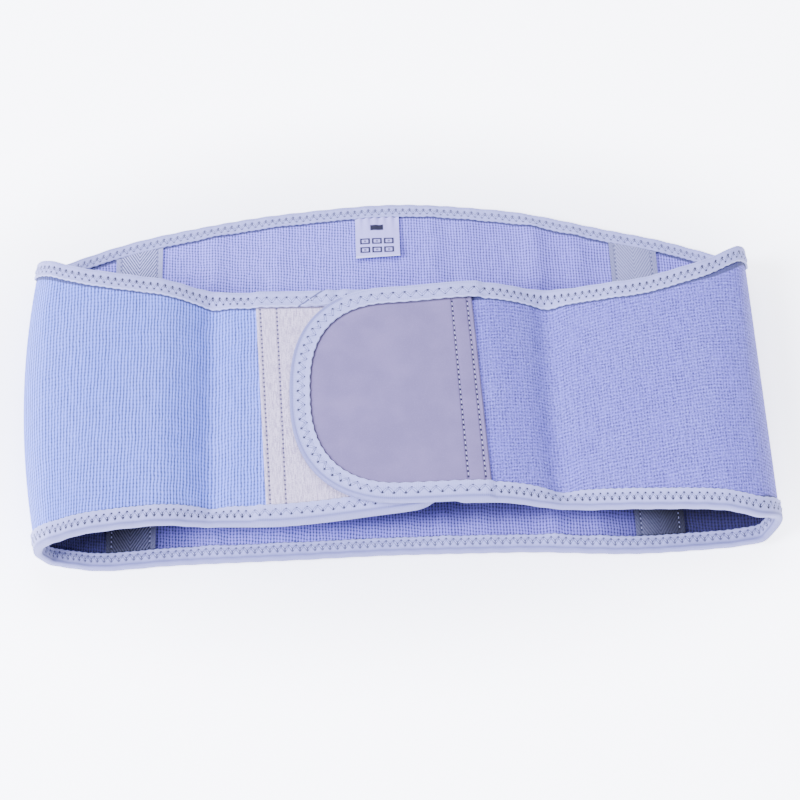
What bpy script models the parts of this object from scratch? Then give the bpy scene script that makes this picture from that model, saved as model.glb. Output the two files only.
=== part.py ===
"""Lumbosacral back support: an elastic waist belt, closed in a ring, that lies on its back panel.

Metres, +Z up. X runs across the belt, Y along its axis with the label's end at +Y, and the back
panel rests on Z = 0. Every piece is drawn flat first, where s is the distance along the belt, y the
distance across it and n the distance out from the band's middle surface. Belt.place then wraps a
flat point round the belt's path. The path starts at the underlap's end, goes over the front to the
left turn, along the back to the right turn, and over the front again to the tip of the closure tab,
which lies on the underlap.
"""
import math
from collections import namedtuple

import bmesh
import bpy
import numpy as np

# Overall sizes of the closed belt. The width and depth are measured to the middle of the cloth
BELT_WIDTH = 0.410
LOOP_DEPTH = 0.034
BACK_HEIGHT = 0.245
SIDE_HEIGHT = 0.194
FRONT_HEIGHT = 0.148
BELLY = 0.008

# Thicknesses of the cloth
BAND_THICK = 0.0020
PAD_THICK = 0.0012
TAB_THICK = 0.0016
TAPE_THICK = 0.0010
LABEL_THICK = 0.0008
PLY = 0.0010

# The folded binding: how far each leg reaches in from the rim, and the fold's rounding in plies
BINDING_OUTSIDE = 0.0115
BINDING_INSIDE = 0.0095
FOLD_TURN = 1.3
FOLD_SHOULDER = 0.35

# The overlap at the front
PAD_LENGTH = 0.102
TAB_LENGTH = 0.1065
TAB_OVERLAP = 0.012
TIP_REACH = 0.062
TIP_POWER = 2.5
CORNER_RADIUS = 0.018

# Pieces sewn to the inside of the back
TAPE_WIDTH = 0.027
TAPE_LEFT_PLACE = -0.73
TAPE_RIGHT_PLACE = 0.685
LABEL_WIDTH = 0.026
LABEL_LENGTH = 0.031
LABEL_PLACE = -0.046
LABEL_LIFT = 0.002

# Gap between neighbouring pieces, and the short ramps where the binding steps over an edge
CLEAR = 0.0003
STEP_MARGIN = 0.001
STEP_RAMP = 0.004

# Spacing of the columns of faces: along straight cloth, and per turn of the path
COLUMN_STEP = 0.0105
COLUMN_TURN = math.radians(13)

# The path, one row a station. across: share of half the belt's width. rise: share of the loop's
# depth above the back panel. low and high: where the two rims are, as shares of the height in the
# next column. belly: share of the belly's swell between the rims.
Station = namedtuple("Station", "name across_low across_high rise_low rise_high low high height belly")
STATIONS = [
    Station("underlap end", 0.117, 0.117, 0.72, 0.72, -0.524, 0.445, FRONT_HEIGHT, 0.0),
    Station("landing", -0.02, -0.02, 0.72, 0.72, -0.554, 0.453, FRONT_HEIGHT, 0.0),
    Station("pad seam", -0.34, -0.34, 0.66, 0.66, -0.591, 0.468, FRONT_HEIGHT, 0.0),
    Station("left dip", -0.50, -0.50, 0.62, 0.62, -0.581, 0.486, FRONT_HEIGHT, 0.0),
    Station("left shoulder", -0.66, -0.66, 0.92, 0.92, -0.466, 0.387, SIDE_HEIGHT, 0.0),
    Station("left crown", -0.84, -0.84, 1.00, 1.00, -0.496, 0.414, SIDE_HEIGHT, 0.0),
    Station("left turn top", -0.925, -0.955, 0.90, 0.90, -0.513, 0.465, SIDE_HEIGHT, 0.5),
    Station("left turn", -0.966, -1.00, 0.50, 0.50, -0.505, 0.515, SIDE_HEIGHT, 1.0),
    Station("left turn foot", -0.925, -0.955, 0.10, 0.10, -0.500, 0.553, SIDE_HEIGHT, 0.5),
    Station("left back", -0.80, -0.80, 0.00, 0.00, -0.404, 0.501, BACK_HEIGHT, 0.0),
    Station("left stay", -0.62, -0.62, 0.00, 0.00, -0.395, 0.544, BACK_HEIGHT, 0.0),
    Station("left of centre", -0.30, -0.30, 0.00, 0.00, -0.389, 0.593, BACK_HEIGHT, 0.0),
    Station("back centre", 0.00, 0.00, 0.00, 0.00, -0.383, 0.613, BACK_HEIGHT, 0.0),
    Station("right of centre", 0.30, 0.30, 0.00, 0.00, -0.384, 0.589, BACK_HEIGHT, 0.0),
    Station("right stay", 0.62, 0.62, 0.00, 0.00, -0.396, 0.518, BACK_HEIGHT, 0.0),
    Station("right back", 0.80, 0.80, 0.00, 0.00, -0.390, 0.473, BACK_HEIGHT, 0.0),
    Station("right turn foot", 0.95, 0.93, 0.10, 0.10, -0.482, 0.531, SIDE_HEIGHT, 0.0),
    Station("right turn", 0.99, 0.985, 0.50, 0.50, -0.459, 0.490, SIDE_HEIGHT, 0.0),
    Station("right turn top", 0.93, 0.955, 0.90, 0.90, -0.488, 0.459, SIDE_HEIGHT, 0.0),
    Station("right crown", 0.84, 0.84, 1.00, 1.00, -0.473, 0.387, SIDE_HEIGHT, 0.0),
    Station("right shoulder", 0.64, 0.64, 0.88, 0.88, -0.449, 0.343, SIDE_HEIGHT, 0.0),
    Station("right dip", 0.42, 0.42, 0.70, 0.56, -0.555, 0.466, FRONT_HEIGHT, 0.0),
    Station("tab seam", 0.24, 0.24, 0.82, 0.82, -0.534, 0.466, FRONT_HEIGHT, 0.0),
    Station("tab", -0.02, -0.02, 0.84, 0.84, -0.540, 0.443, FRONT_HEIGHT, 0.0),
    Station("tab tip", -0.30, -0.30, 0.80, 0.80, -0.520, 0.440, FRONT_HEIGHT, 0.0),
]

# Colours as linear red, green and blue, with roughness
KNIT_COLOUR = (0.46, 0.50, 0.78)
PAD_COLOUR = (0.72, 0.69, 0.66)
TAB_COLOUR = (0.45, 0.43, 0.56)
BINDING_COLOUR = (0.62, 0.65, 0.76)
TAPE_COLOUR = (0.52, 0.53, 0.66)
LABEL_COLOUR = (0.80, 0.80, 0.90)


def steady_curve(knots, values):
    """Return a smooth function through values at knots that never swings past its rows."""
    gaps = np.diff(knots)[:, None]
    rises = np.diff(values, axis=0) / gaps
    slopes = np.zeros_like(values)
    slopes[0], slopes[-1] = rises[0], rises[-1]
    same_way = rises[:-1] * rises[1:] > 0
    first = 2 * gaps[1:] + gaps[:-1]
    second = gaps[1:] + 2 * gaps[:-1]
    before = np.where(same_way, rises[:-1], 1.0)
    after = np.where(same_way, rises[1:], 1.0)
    slopes[1:-1] = np.where(same_way, (first + second) / (first / before + second / after), 0.0)

    def curve(where):
        where = np.clip(where, knots[0], knots[-1])
        left = np.clip(np.searchsorted(knots, where, side="right") - 1, 0, len(knots) - 2)
        gap = gaps[left]
        share = ((where - knots[left])[:, None]) / gap
        rest = 1 - share
        start = values[left] * (1 + 2 * share) + slopes[left] * gap * share
        finish = values[left + 1] * (1 + 2 * rest) - slopes[left + 1] * gap * rest
        return start * rest ** 2 + finish * share ** 2

    return curve


def smooth_step(share):
    """Ease from 0 to 1 as share goes from 0 to 1."""
    share = np.clip(share, 0.0, 1.0)
    return share * share * (3 - 2 * share)


class Belt:
    """The belt's path and its flat pattern."""

    # Samples that measure the path, and the half step that takes its direction
    SAMPLES = 4000
    REACH = 0.0005

    def __init__(self):
        """Fit the curves to the stations and measure the distance along them."""
        half = BELT_WIDTH / 2
        self.floor_gap = BAND_THICK / 2 + CLEAR + PLY
        low = [(r.across_low * half, self.floor_gap + r.rise_low * LOOP_DEPTH, r.low * r.height)
               for r in STATIONS]
        high = [(r.across_high * half, self.floor_gap + r.rise_high * LOOP_DEPTH, r.high * r.height)
                for r in STATIONS]
        swell = [(r.belly * BELLY * math.copysign(1, r.across_low), 0.0) for r in STATIONS]
        low, high, swell = np.array(low), np.array(high), np.array(swell)
        middle = (low[:, :2] + high[:, :2]) / 2
        steps = np.hypot(*np.diff(middle, axis=0).T)
        knots = np.concatenate([[0.0], np.cumsum(steps)])
        self.low_rim = steady_curve(knots, low)
        self.high_rim = steady_curve(knots, high)
        self.swell = steady_curve(knots, swell)
        self.last = knots[-1]
        self.row = {r.name: knot for r, knot in zip(STATIONS, knots)}
        self.lap_height = 3 * CLEAR + PAD_THICK + 2 * PLY
        self.measure()

    def measure(self):
        """Tabulate the distance along the path, and the underlap's height for the tab to lie on."""
        self.under = None
        knots = np.linspace(0.0, self.row["left dip"], 400)
        under = self.section(knots, np.full_like(knots, 0.5))
        self.under = under[np.argsort(under[:, 0])]
        self.samples = np.linspace(0.0, self.last, self.SAMPLES)
        path = self.section(self.samples, np.full_like(self.samples, 0.5))
        steps = np.hypot(*np.diff(path, axis=0).T)
        self.distance = np.concatenate([[0.0], np.cumsum(steps)])
        self.length = self.distance[-1]
        self.tab_start = self.length - TAB_LENGTH
        self.band_end = self.tab_start + TAB_OVERLAP
        self.grid = self.lay_columns()

    def section(self, knot, across):
        """Return X and Z of the middle surface, at across from 0 at the low rim to 1 at the high."""
        low, high = self.low_rim(knot)[:, :2], self.high_rim(knot)[:, :2]
        across = across[:, None]
        spot = low * (1 - across) + high * across + self.swell(knot) * 4 * across * (1 - across)
        if self.under is not None:
            spot[:, 1] = self.lie_on_underlap(knot, spot)
        return spot

    def lie_on_underlap(self, knot, spot):
        """Bring the tab's height to the underlap's own height plus the lap."""
        start, finish = self.low_rim(np.array([self.row["tab seam"], 0.0]))[:, 0]
        share = smooth_step((start - spot[:, 0]) / (start - finish - STEP_MARGIN))
        share = np.where(knot > self.row["right dip"], share, 0.0)
        lying = np.interp(spot[:, 0], self.under[:, 0], self.under[:, 1]) + self.lap_height
        return spot[:, 1] * (1 - share) + lying * share

    def knot(self, s):
        """Return the curve's own parameter at distance s along the belt."""
        return np.interp(s, self.distance, self.samples)

    def distance_of(self, name):
        """Return the distance along the belt of a named station."""
        return float(np.interp(self.row[name], self.samples, self.distance))

    def rims(self, s):
        """Return Y of the low and the high rim at distance s, before any rounded end."""
        knot = self.knot(s)
        return self.low_rim(knot)[:, 2], self.high_rim(knot)[:, 2]

    def outline(self, s, inset):
        """Return the flat outline's low and high Y at s, inset from the rim, with rounded ends."""
        low, high = self.rims(s)
        inner = CORNER_RADIUS - inset
        drop = CORNER_RADIUS - np.sqrt(np.maximum(inner ** 2 - np.maximum(CORNER_RADIUS - s, 0) ** 2, 0))
        middle, half = (low + high) / 2, (high - low) / 2 - drop
        reach = TIP_REACH - inset
        left = np.clip((self.length - inset - s) / reach, 0.0, 1.0)
        width = half * (1 - (1 - left) ** TIP_POWER) ** (1 / TIP_POWER)
        return middle - width, middle + width

    def place(self, s, y, n):
        """Wrap flat points round the path and return them as rows of X, Y and Z."""
        low, high = self.rims(s)
        across = (y - low) / (high - low)
        knot = self.knot(s)
        spot = self.section(knot, across)
        ahead = self.section(np.minimum(knot + self.REACH, self.last), across)
        behind = self.section(np.maximum(knot - self.REACH, 0.0), across)
        way = ahead - behind
        way /= np.linalg.norm(way, axis=1)[:, None]
        return np.column_stack([spot[:, 0] + way[:, 1] * n, y, spot[:, 1] - way[:, 0] * n])

    def lay_columns(self):
        """Choose the distances where columns of faces stand, closer together where the path turns.

        Every piece takes its columns from this one list, so neighbours bend at the same places.
        """
        path = self.section(self.samples, np.full_like(self.samples, 0.5))
        way = np.unwrap(np.arctan2(*np.gradient(path, axis=0).T))
        turned = np.concatenate([[0.0], np.cumsum(np.abs(np.diff(way)))])
        count = self.distance / COLUMN_STEP + turned / COLUMN_TURN
        start, finish = CORNER_RADIUS, self.length - TIP_REACH
        first, last = np.interp([start, finish], self.distance, count)
        even = np.interp(np.linspace(first, last, int(math.ceil(last - first)) + 1), count, self.distance)
        marks = np.array(self.step_marks() + [PAD_LENGTH, self.tab_start, self.band_end])
        clear = np.abs(even[:, None] - marks[None, :]).min(axis=1) > STEP_MARGIN
        return np.unique(np.concatenate([[start], even[clear], marks, [finish]]))

    def columns(self, start, finish):
        """Return the columns between two distances, with a column at each of the two."""
        inside = (self.grid > start + STEP_MARGIN / 2) & (self.grid < finish - STEP_MARGIN / 2)
        return np.concatenate([[start], self.grid[inside], [finish]])

    def step_marks(self):
        """Return the distances where the binding's ramps begin and end."""
        pad, tab, band = PAD_LENGTH, self.tab_start, self.band_end
        near, far = STEP_MARGIN, STEP_MARGIN + STEP_RAMP
        return [pad + near, pad + far, tab - far, tab - near, band + near, band + far]

    def channel(self, s):
        """Return n of the binding channel's inner and outer walls at distance s."""
        pad, pad_far, tab_far, tab, band, band_far = self.step_marks()
        plain = BAND_THICK / 2 + CLEAR
        outer = np.interp(s, [pad, pad_far, tab_far, tab],
                          [plain + CLEAR + PAD_THICK, plain, plain, plain + CLEAR + TAB_THICK])
        inner = np.interp(s, [band, band_far], [-plain, plain - CLEAR])
        return inner, outer


def new_object(name, bm, colour, roughness):
    """Make a named object with its own material from a bmesh, with soft bends shaded smooth."""
    bmesh.ops.recalc_face_normals(bm, faces=bm.faces)
    for edge in bm.edges:
        edge.smooth = edge.calc_face_angle(0.0) < math.radians(35)
    for face in bm.faces:
        face.smooth = True
    mesh = bpy.data.meshes.new(name)
    bm.to_mesh(mesh)
    bm.free()
    material = bpy.data.materials.new(name + "_material")
    material.use_nodes = True
    shader = material.node_tree.nodes["Principled BSDF"]
    shader.inputs["Base Color"].default_value = (*colour, 1.0)
    shader.inputs["Roughness"].default_value = roughness
    mesh.materials.append(material)
    obj = bpy.data.objects.new(name, mesh)
    bpy.context.scene.collection.objects.link(obj)
    return obj


def wrap_sheet(name, belt, columns, rows, spread, levels, colour, roughness):
    """Cut a flat sheet, thicken it and wrap it round the belt.

    spread gives the sheet's low and high Y at distances s. levels gives its two faces' n at
    distances s and shares across, as a pair.
    """
    bm = bmesh.new()
    bmesh.ops.create_grid(bm, x_segments=len(columns) - 1, y_segments=rows, size=0.5)
    copy = bmesh.ops.extrude_face_region(bm, geom=bm.faces[:])
    for vert in (v for v in copy["geom"] if isinstance(v, bmesh.types.BMVert)):
        vert.co.z = 1.0
    flat = np.array([vert.co for vert in bm.verts])
    s = np.interp(flat[:, 0] + 0.5, np.linspace(0.0, 1.0, len(columns)), columns)
    share = flat[:, 1] + 0.5
    low, high = spread(s)
    inner, outer = levels(s, share)
    n = np.where(flat[:, 2] > 0.5, outer, inner)
    for vert, spot in zip(bm.verts, belt.place(s, low + (high - low) * share, n)):
        vert.co = spot
    return new_object(name, bm, colour, roughness)


def tip_columns(belt, start, inset):
    """Return distances from start to the tab's rounded tip, closer together as the tip closes."""
    reach = TIP_REACH - inset
    tip = belt.length - inset
    angles = np.radians(np.linspace(90, 9, 11))
    curved = tip - reach * (1 - np.cos(angles) ** (2 / TIP_POWER))
    return np.concatenate([belt.columns(start, tip - reach), curved[1:]])


def end_columns(inset):
    """Return distances from the underlap's end round its two corners."""
    angles = np.radians(np.linspace(8, 90, 6))
    return CORNER_RADIUS - (CORNER_RADIUS - inset) * np.cos(angles)


def elastic_band(belt):
    """The knitted band, from the underlap's end to just under the tab's seam."""
    inset = PLY + CLEAR
    straight = belt.columns(CORNER_RADIUS, belt.band_end)
    columns = np.concatenate([end_columns(inset), straight[1:]])
    half = BAND_THICK / 2
    return wrap_sheet("elastic_band", belt, columns, 6, lambda s: belt.outline(s, inset),
                      lambda s, share: (-half, half), KNIT_COLOUR, 0.9)


def landing_pad(belt):
    """The cream loop panel on the underlap's outer face."""
    inset = PLY + CLEAR
    straight = belt.columns(CORNER_RADIUS, PAD_LENGTH)
    columns = np.concatenate([end_columns(inset), straight[1:]])
    base = BAND_THICK / 2 + CLEAR
    return wrap_sheet("landing_pad", belt, columns, 6, lambda s: belt.outline(s, inset),
                      lambda s, share: (base, base + PAD_THICK), PAD_COLOUR, 0.95)


def closure_tab(belt):
    """The laminated tab with the rounded end, which holds on the pad."""
    inset = PLY + CLEAR
    base = BAND_THICK / 2 + CLEAR
    return wrap_sheet("closure_tab", belt, tip_columns(belt, belt.tab_start, inset), 6,
                      lambda s: belt.outline(s, inset),
                      lambda s, share: (base, base + TAB_THICK), TAB_COLOUR, 0.6)


def stay_channel(belt, name, place):
    """A twill tape sewn to the inside of the back over a stay, between the binding's two legs."""
    middle = belt.distance_of("back centre") + place * BELT_WIDTH / 2
    columns = belt.columns(middle - TAPE_WIDTH / 2, middle + TAPE_WIDTH / 2)
    base = -BAND_THICK / 2 - CLEAR
    return wrap_sheet(name, belt, columns, 8,
                      lambda s: belt.outline(s, BINDING_INSIDE + 2 * CLEAR),
                      lambda s, share: (base - TAPE_THICK, base), TAPE_COLOUR, 0.8)


def size_label(belt):
    """The small label that hangs from the top binding inside the back, its free end lifted."""
    middle = belt.distance_of("back centre") + LABEL_PLACE * BELT_WIDTH / 2
    columns = belt.columns(middle - LABEL_WIDTH / 2, middle + LABEL_WIDTH / 2)
    base = -BAND_THICK / 2 - CLEAR

    def spread(s):
        top = belt.outline(s, BINDING_INSIDE + 2 * CLEAR)[1]
        return top - LABEL_LENGTH, top

    def levels(s, share):
        face = base - LABEL_LIFT * (1 - share) ** 2
        return face - LABEL_THICK, face

    return wrap_sheet("size_label", belt, columns, 6, spread, levels, LABEL_COLOUR, 0.6)


def straight_rim(belt, side, start, finish):
    """Return the rim's rows between two distances along the belt.

    side is -1 for the low rim and 1 for the high rim. Each row holds s, y and the direction in
    from the rim along s and y.
    """
    s = belt.columns(start, finish)
    y = belt.rims(s)[0 if side < 0 else 1]
    return np.column_stack([s, y, np.zeros_like(s), np.full_like(s, -side)])


def rim_left(belt, side):
    """Return the rim from the middle of the underlap's end, round the left turn, to mid back."""
    pick = 0 if side < 0 else 1
    turn = np.radians(np.linspace(0, 90, 7))[1:-1]
    corner_s = CORNER_RADIUS * (1 - np.cos(turn))
    corner_y = belt.rims(corner_s)[pick] - side * CORNER_RADIUS * (1 - np.sin(turn))
    corner = np.column_stack([corner_s, corner_y, np.cos(turn), -side * np.sin(turn)])
    start = belt.rims(np.zeros(1))
    middle = (start[0][0] + start[1][0]) / 2 + side * CLEAR / 2
    end_y = np.linspace(middle, start[pick][0] - side * CORNER_RADIUS, 3)
    end = np.column_stack([np.zeros(3), end_y, np.ones(3), np.zeros(3)])
    joint = belt.distance_of("back centre")
    straight = straight_rim(belt, side, CORNER_RADIUS, joint - CLEAR / 2)
    return np.concatenate([end, corner, straight])


def rim_right(belt, side):
    """Return the rim from mid back, round the right turn and the closure tab, to its tip."""
    joint = belt.distance_of("back centre")
    straight = straight_rim(belt, side, joint + CLEAR / 2, belt.length - TIP_REACH)
    start = belt.rims(np.zeros(1))
    last = math.asin((CLEAR / (start[1][0] - start[0][0])) ** (TIP_POWER / 2))
    tip = np.concatenate([np.radians(np.linspace(90, 7, 12))[1:], [last]])
    bend, swing = np.cos(tip), np.sin(tip)
    tip_s = belt.length - TIP_REACH * (1 - bend ** (2 / TIP_POWER))
    tip_low, tip_high = belt.rims(tip_s)
    half = (tip_high - tip_low) / 2
    tip_y = (tip_low + tip_high) / 2 + side * half * swing ** (2 / TIP_POWER)
    flatness = 2 * (TIP_POWER - 1) / TIP_POWER
    tip_in = np.column_stack([-bend ** flatness / TIP_REACH, -side * swing ** flatness / half])
    tip_in /= np.linalg.norm(tip_in, axis=1)[:, None]
    return np.concatenate([straight, np.column_stack([tip_s, tip_y, tip_in])])


def binding_section():
    """Return the folded strip's section as reach from the rim, wall followed and offset from it.

    The wall is 1 for the channel's outer wall, 0 for its inner wall and 0.5 for halfway.
    """
    fold, shoulder = FOLD_TURN * PLY, FOLD_SHOULDER * PLY
    return [
        (BINDING_OUTSIDE, 1.0, PLY),
        (fold, 1.0, PLY),
        (shoulder, 1.0, PLY / 2),
        (0.0, 0.5, 0.0),
        (shoulder, 0.0, -PLY / 2),
        (fold, 0.0, -PLY),
        (BINDING_INSIDE, 0.0, -PLY),
        (BINDING_INSIDE, 0.0, 0.0),
        (PLY, 0.0, 0.0),
        (PLY, 1.0, 0.0),
        (BINDING_OUTSIDE, 1.0, 0.0),
    ]


def edge_binding(belt, name, path):
    """A length of the elastic binding, folded over the rim. Its ends meet the next by a hair."""
    section = np.array(binding_section())
    stops, corners = len(path) - 1, len(section)
    bm = bmesh.new()
    bmesh.ops.create_grid(bm, x_segments=stops, y_segments=corners, size=0.5)
    flat = np.array([vert.co for vert in bm.verts])
    along = path[np.rint((flat[:, 0] + 0.5) * stops).astype(int)]
    corner = section[np.rint((flat[:, 1] + 0.5) * corners).astype(int) % corners]
    spot = along[:, :2] + along[:, 2:] * corner[:, :1]
    inner, outer = belt.channel(spot[:, 0])
    n = inner + (outer - inner) * corner[:, 1] + corner[:, 2]
    for vert, wrapped in zip(bm.verts, belt.place(spot[:, 0], spot[:, 1], n)):
        vert.co = wrapped
    bmesh.ops.remove_doubles(bm, verts=bm.verts, dist=0.00001)
    bmesh.ops.holes_fill(bm, edges=[edge for edge in bm.edges if edge.is_boundary])
    return new_object(name, bm, BINDING_COLOUR, 0.85)


def centre_on_origin(pieces):
    """Shift every mesh so that the belt's box is centred on the origin and stands on Z = 0."""
    corners = np.array([vert.co for piece in pieces for vert in piece.data.vertices])
    low, high = corners.min(axis=0), corners.max(axis=0)
    shift = np.array([(low[0] + high[0]) / 2, (low[1] + high[1]) / 2, low[2]])
    for piece in pieces:
        for vert in piece.data.vertices:
            vert.co = np.array(vert.co) - shift


def main():
    """Build the belt."""
    for obj in list(bpy.data.objects):
        bpy.data.objects.remove(obj, do_unlink=True)
    belt = Belt()
    pieces = [
        elastic_band(belt),
        landing_pad(belt),
        closure_tab(belt),
        edge_binding(belt, "edge_binding_lower_left", rim_left(belt, -1)),
        edge_binding(belt, "edge_binding_lower_right", rim_right(belt, -1)),
        edge_binding(belt, "edge_binding_upper_left", rim_left(belt, 1)),
        edge_binding(belt, "edge_binding_upper_right", rim_right(belt, 1)),
        stay_channel(belt, "stay_channel_left", TAPE_LEFT_PLACE),
        stay_channel(belt, "stay_channel_right", TAPE_RIGHT_PLACE),
        size_label(belt),
    ]
    centre_on_origin(pieces)


main()
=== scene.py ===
"""Looks of an elastic lumbosacral back support: a closed waist belt that lies on its back panel.

Metres, +Z up. Each cloth piece is cut flat, where s is the distance along the belt, y the distance
across it and n the height above the band's middle surface, and is then wrapped round the belt's
path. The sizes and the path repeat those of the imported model, so every piece lies where its own
solid does.
"""
import logging
import math
from dataclasses import dataclass, field
from enum import Enum
from typing import Callable, ClassVar

import bpy
import numpy as np
from mathutils import Matrix, Vector
from mathutils.kdtree import KDTree


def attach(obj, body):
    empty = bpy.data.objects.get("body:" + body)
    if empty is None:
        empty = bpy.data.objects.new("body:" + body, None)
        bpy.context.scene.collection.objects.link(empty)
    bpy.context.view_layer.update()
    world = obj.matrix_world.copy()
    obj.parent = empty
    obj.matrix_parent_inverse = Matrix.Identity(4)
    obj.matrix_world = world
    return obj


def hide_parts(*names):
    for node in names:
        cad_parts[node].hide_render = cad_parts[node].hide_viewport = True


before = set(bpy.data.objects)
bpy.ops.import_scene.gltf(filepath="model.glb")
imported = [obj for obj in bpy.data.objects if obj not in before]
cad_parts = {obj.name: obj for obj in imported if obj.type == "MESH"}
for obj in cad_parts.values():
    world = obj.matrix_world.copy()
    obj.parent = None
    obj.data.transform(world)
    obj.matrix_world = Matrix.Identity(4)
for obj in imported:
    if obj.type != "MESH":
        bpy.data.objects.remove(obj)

LOG = logging.getLogger("back_support")

# The flat maps. The first holds s and y, or the stitch count and the reach on the binding. The
# second holds the reach in from the rim, or s and whether it is the high rim on the binding.
CLOTH_MAP = "cloth"
RIM_MAP = "rim"

# How far the belt's own drawing stands from the frame's origin
DRAWING_SHIFT = np.array([-0.0027678, 0.0253305, 0.0])

# The shader's values that every cloth shares
SHEEN_ROUGHNESS = 0.5
CLOTH_SPECULAR = 0.15

# Where the binding's shade on the cloth begins and is full, past its free edge
RIM_LINE = (0.0012, 0.0004)

# Faces that meet at less than this angle are shaded as one smooth face
SMOOTH_ANGLE = math.radians(50)

Sockets = bpy.types.NodeSocket
Colour = tuple[float, float, float]
Pair = tuple[float, float]


class Side(Enum):
    """The two rims of the belt, with the sign of the way out across it."""

    LOW = -1
    HIGH = 1


class Face(Enum):
    """The two faces of the cloth, with the sign of the way out from the band's middle."""

    INNER = -1
    OUTER = 1


@dataclass(frozen=True)
class Station:
    """A place along the path: shares of half the width, of the loop's depth and of the height."""

    name: str
    across_low: float
    across_high: float
    rise_low: float
    rise_high: float
    low: float
    high: float
    height: float
    belly: float


BACK, FLANK, FRONT = 0.245, 0.194, 0.148
STATIONS = (
    Station("underlap end", 0.117, 0.117, 0.72, 0.72, -0.524, 0.445, FRONT, 0.0),
    Station("landing", -0.02, -0.02, 0.72, 0.72, -0.554, 0.453, FRONT, 0.0),
    Station("pad seam", -0.34, -0.34, 0.66, 0.66, -0.591, 0.468, FRONT, 0.0),
    Station("left dip", -0.50, -0.50, 0.62, 0.62, -0.581, 0.486, FRONT, 0.0),
    Station("left shoulder", -0.66, -0.66, 0.92, 0.92, -0.466, 0.387, FLANK, 0.0),
    Station("left crown", -0.84, -0.84, 1.00, 1.00, -0.496, 0.414, FLANK, 0.0),
    Station("left turn top", -0.925, -0.955, 0.90, 0.90, -0.513, 0.465, FLANK, 0.5),
    Station("left turn", -0.966, -1.00, 0.50, 0.50, -0.505, 0.515, FLANK, 1.0),
    Station("left turn foot", -0.925, -0.955, 0.10, 0.10, -0.500, 0.553, FLANK, 0.5),
    Station("left back", -0.80, -0.80, 0.00, 0.00, -0.404, 0.501, BACK, 0.0),
    Station("left stay", -0.62, -0.62, 0.00, 0.00, -0.395, 0.544, BACK, 0.0),
    Station("left of centre", -0.30, -0.30, 0.00, 0.00, -0.389, 0.593, BACK, 0.0),
    Station("back centre", 0.00, 0.00, 0.00, 0.00, -0.383, 0.613, BACK, 0.0),
    Station("right of centre", 0.30, 0.30, 0.00, 0.00, -0.384, 0.589, BACK, 0.0),
    Station("right stay", 0.62, 0.62, 0.00, 0.00, -0.396, 0.518, BACK, 0.0),
    Station("right back", 0.80, 0.80, 0.00, 0.00, -0.390, 0.473, BACK, 0.0),
    Station("right turn foot", 0.95, 0.93, 0.10, 0.10, -0.482, 0.531, FLANK, 0.0),
    Station("right turn", 0.99, 0.985, 0.50, 0.50, -0.459, 0.490, FLANK, 0.0),
    Station("right turn top", 0.93, 0.955, 0.90, 0.90, -0.488, 0.459, FLANK, 0.0),
    Station("right crown", 0.84, 0.84, 1.00, 1.00, -0.473, 0.387, FLANK, 0.0),
    Station("right shoulder", 0.64, 0.64, 0.88, 0.88, -0.449, 0.343, FLANK, 0.0),
    Station("right dip", 0.42, 0.42, 0.70, 0.56, -0.555, 0.466, FRONT, 0.0),
    Station("tab seam", 0.24, 0.24, 0.82, 0.82, -0.534, 0.466, FRONT, 0.0),
    Station("tab", -0.02, -0.02, 0.84, 0.84, -0.540, 0.443, FRONT, 0.0),
    Station("tab tip", -0.30, -0.30, 0.80, 0.80, -0.520, 0.440, FRONT, 0.0),
)


def smooth_step(share: np.ndarray) -> np.ndarray:
    """Ease from 0 to 1 as share goes from 0 to 1."""
    share = np.clip(share, 0.0, 1.0)
    return share * share * (3 - 2 * share)


def hump(where: np.ndarray, middle: float | np.ndarray, width: float) -> np.ndarray:
    """Return a bell of height 1 about middle, whose flanks fall off within width."""
    return np.exp(-((where - middle) / width) ** 2)


def steady_curve(knots: np.ndarray, values: np.ndarray) -> Callable[[np.ndarray], np.ndarray]:
    """Fit a smooth curve that never swings past its rows.

    Args:
        knots: where the rows stand, rising.
        values: one row of numbers a knot.

    Returns:
        A function from places along the knots to rows of numbers.
    """
    gaps = np.diff(knots)[:, None]
    rises = np.diff(values, axis=0) / gaps
    slopes = np.zeros_like(values)
    slopes[0], slopes[-1] = rises[0], rises[-1]
    same_way = rises[:-1] * rises[1:] > 0
    first = 2 * gaps[1:] + gaps[:-1]
    second = gaps[1:] + 2 * gaps[:-1]
    before = np.where(same_way, rises[:-1], 1.0)
    after = np.where(same_way, rises[1:], 1.0)
    slopes[1:-1] = np.where(same_way, (first + second) / (first / before + second / after), 0.0)

    def curve(where: np.ndarray) -> np.ndarray:
        """Return the curve's rows at where."""
        where = np.clip(where, knots[0], knots[-1])
        left = np.clip(np.searchsorted(knots, where, side="right") - 1, 0, len(knots) - 2)
        gap = gaps[left]
        share = ((where - knots[left])[:, None]) / gap
        rest = 1 - share
        start = values[left] * (1 + 2 * share) + slopes[left] * gap * share
        finish = values[left + 1] * (1 + 2 * rest) - slopes[left + 1] * gap * rest
        return start * rest ** 2 + finish * share ** 2

    return curve


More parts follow.
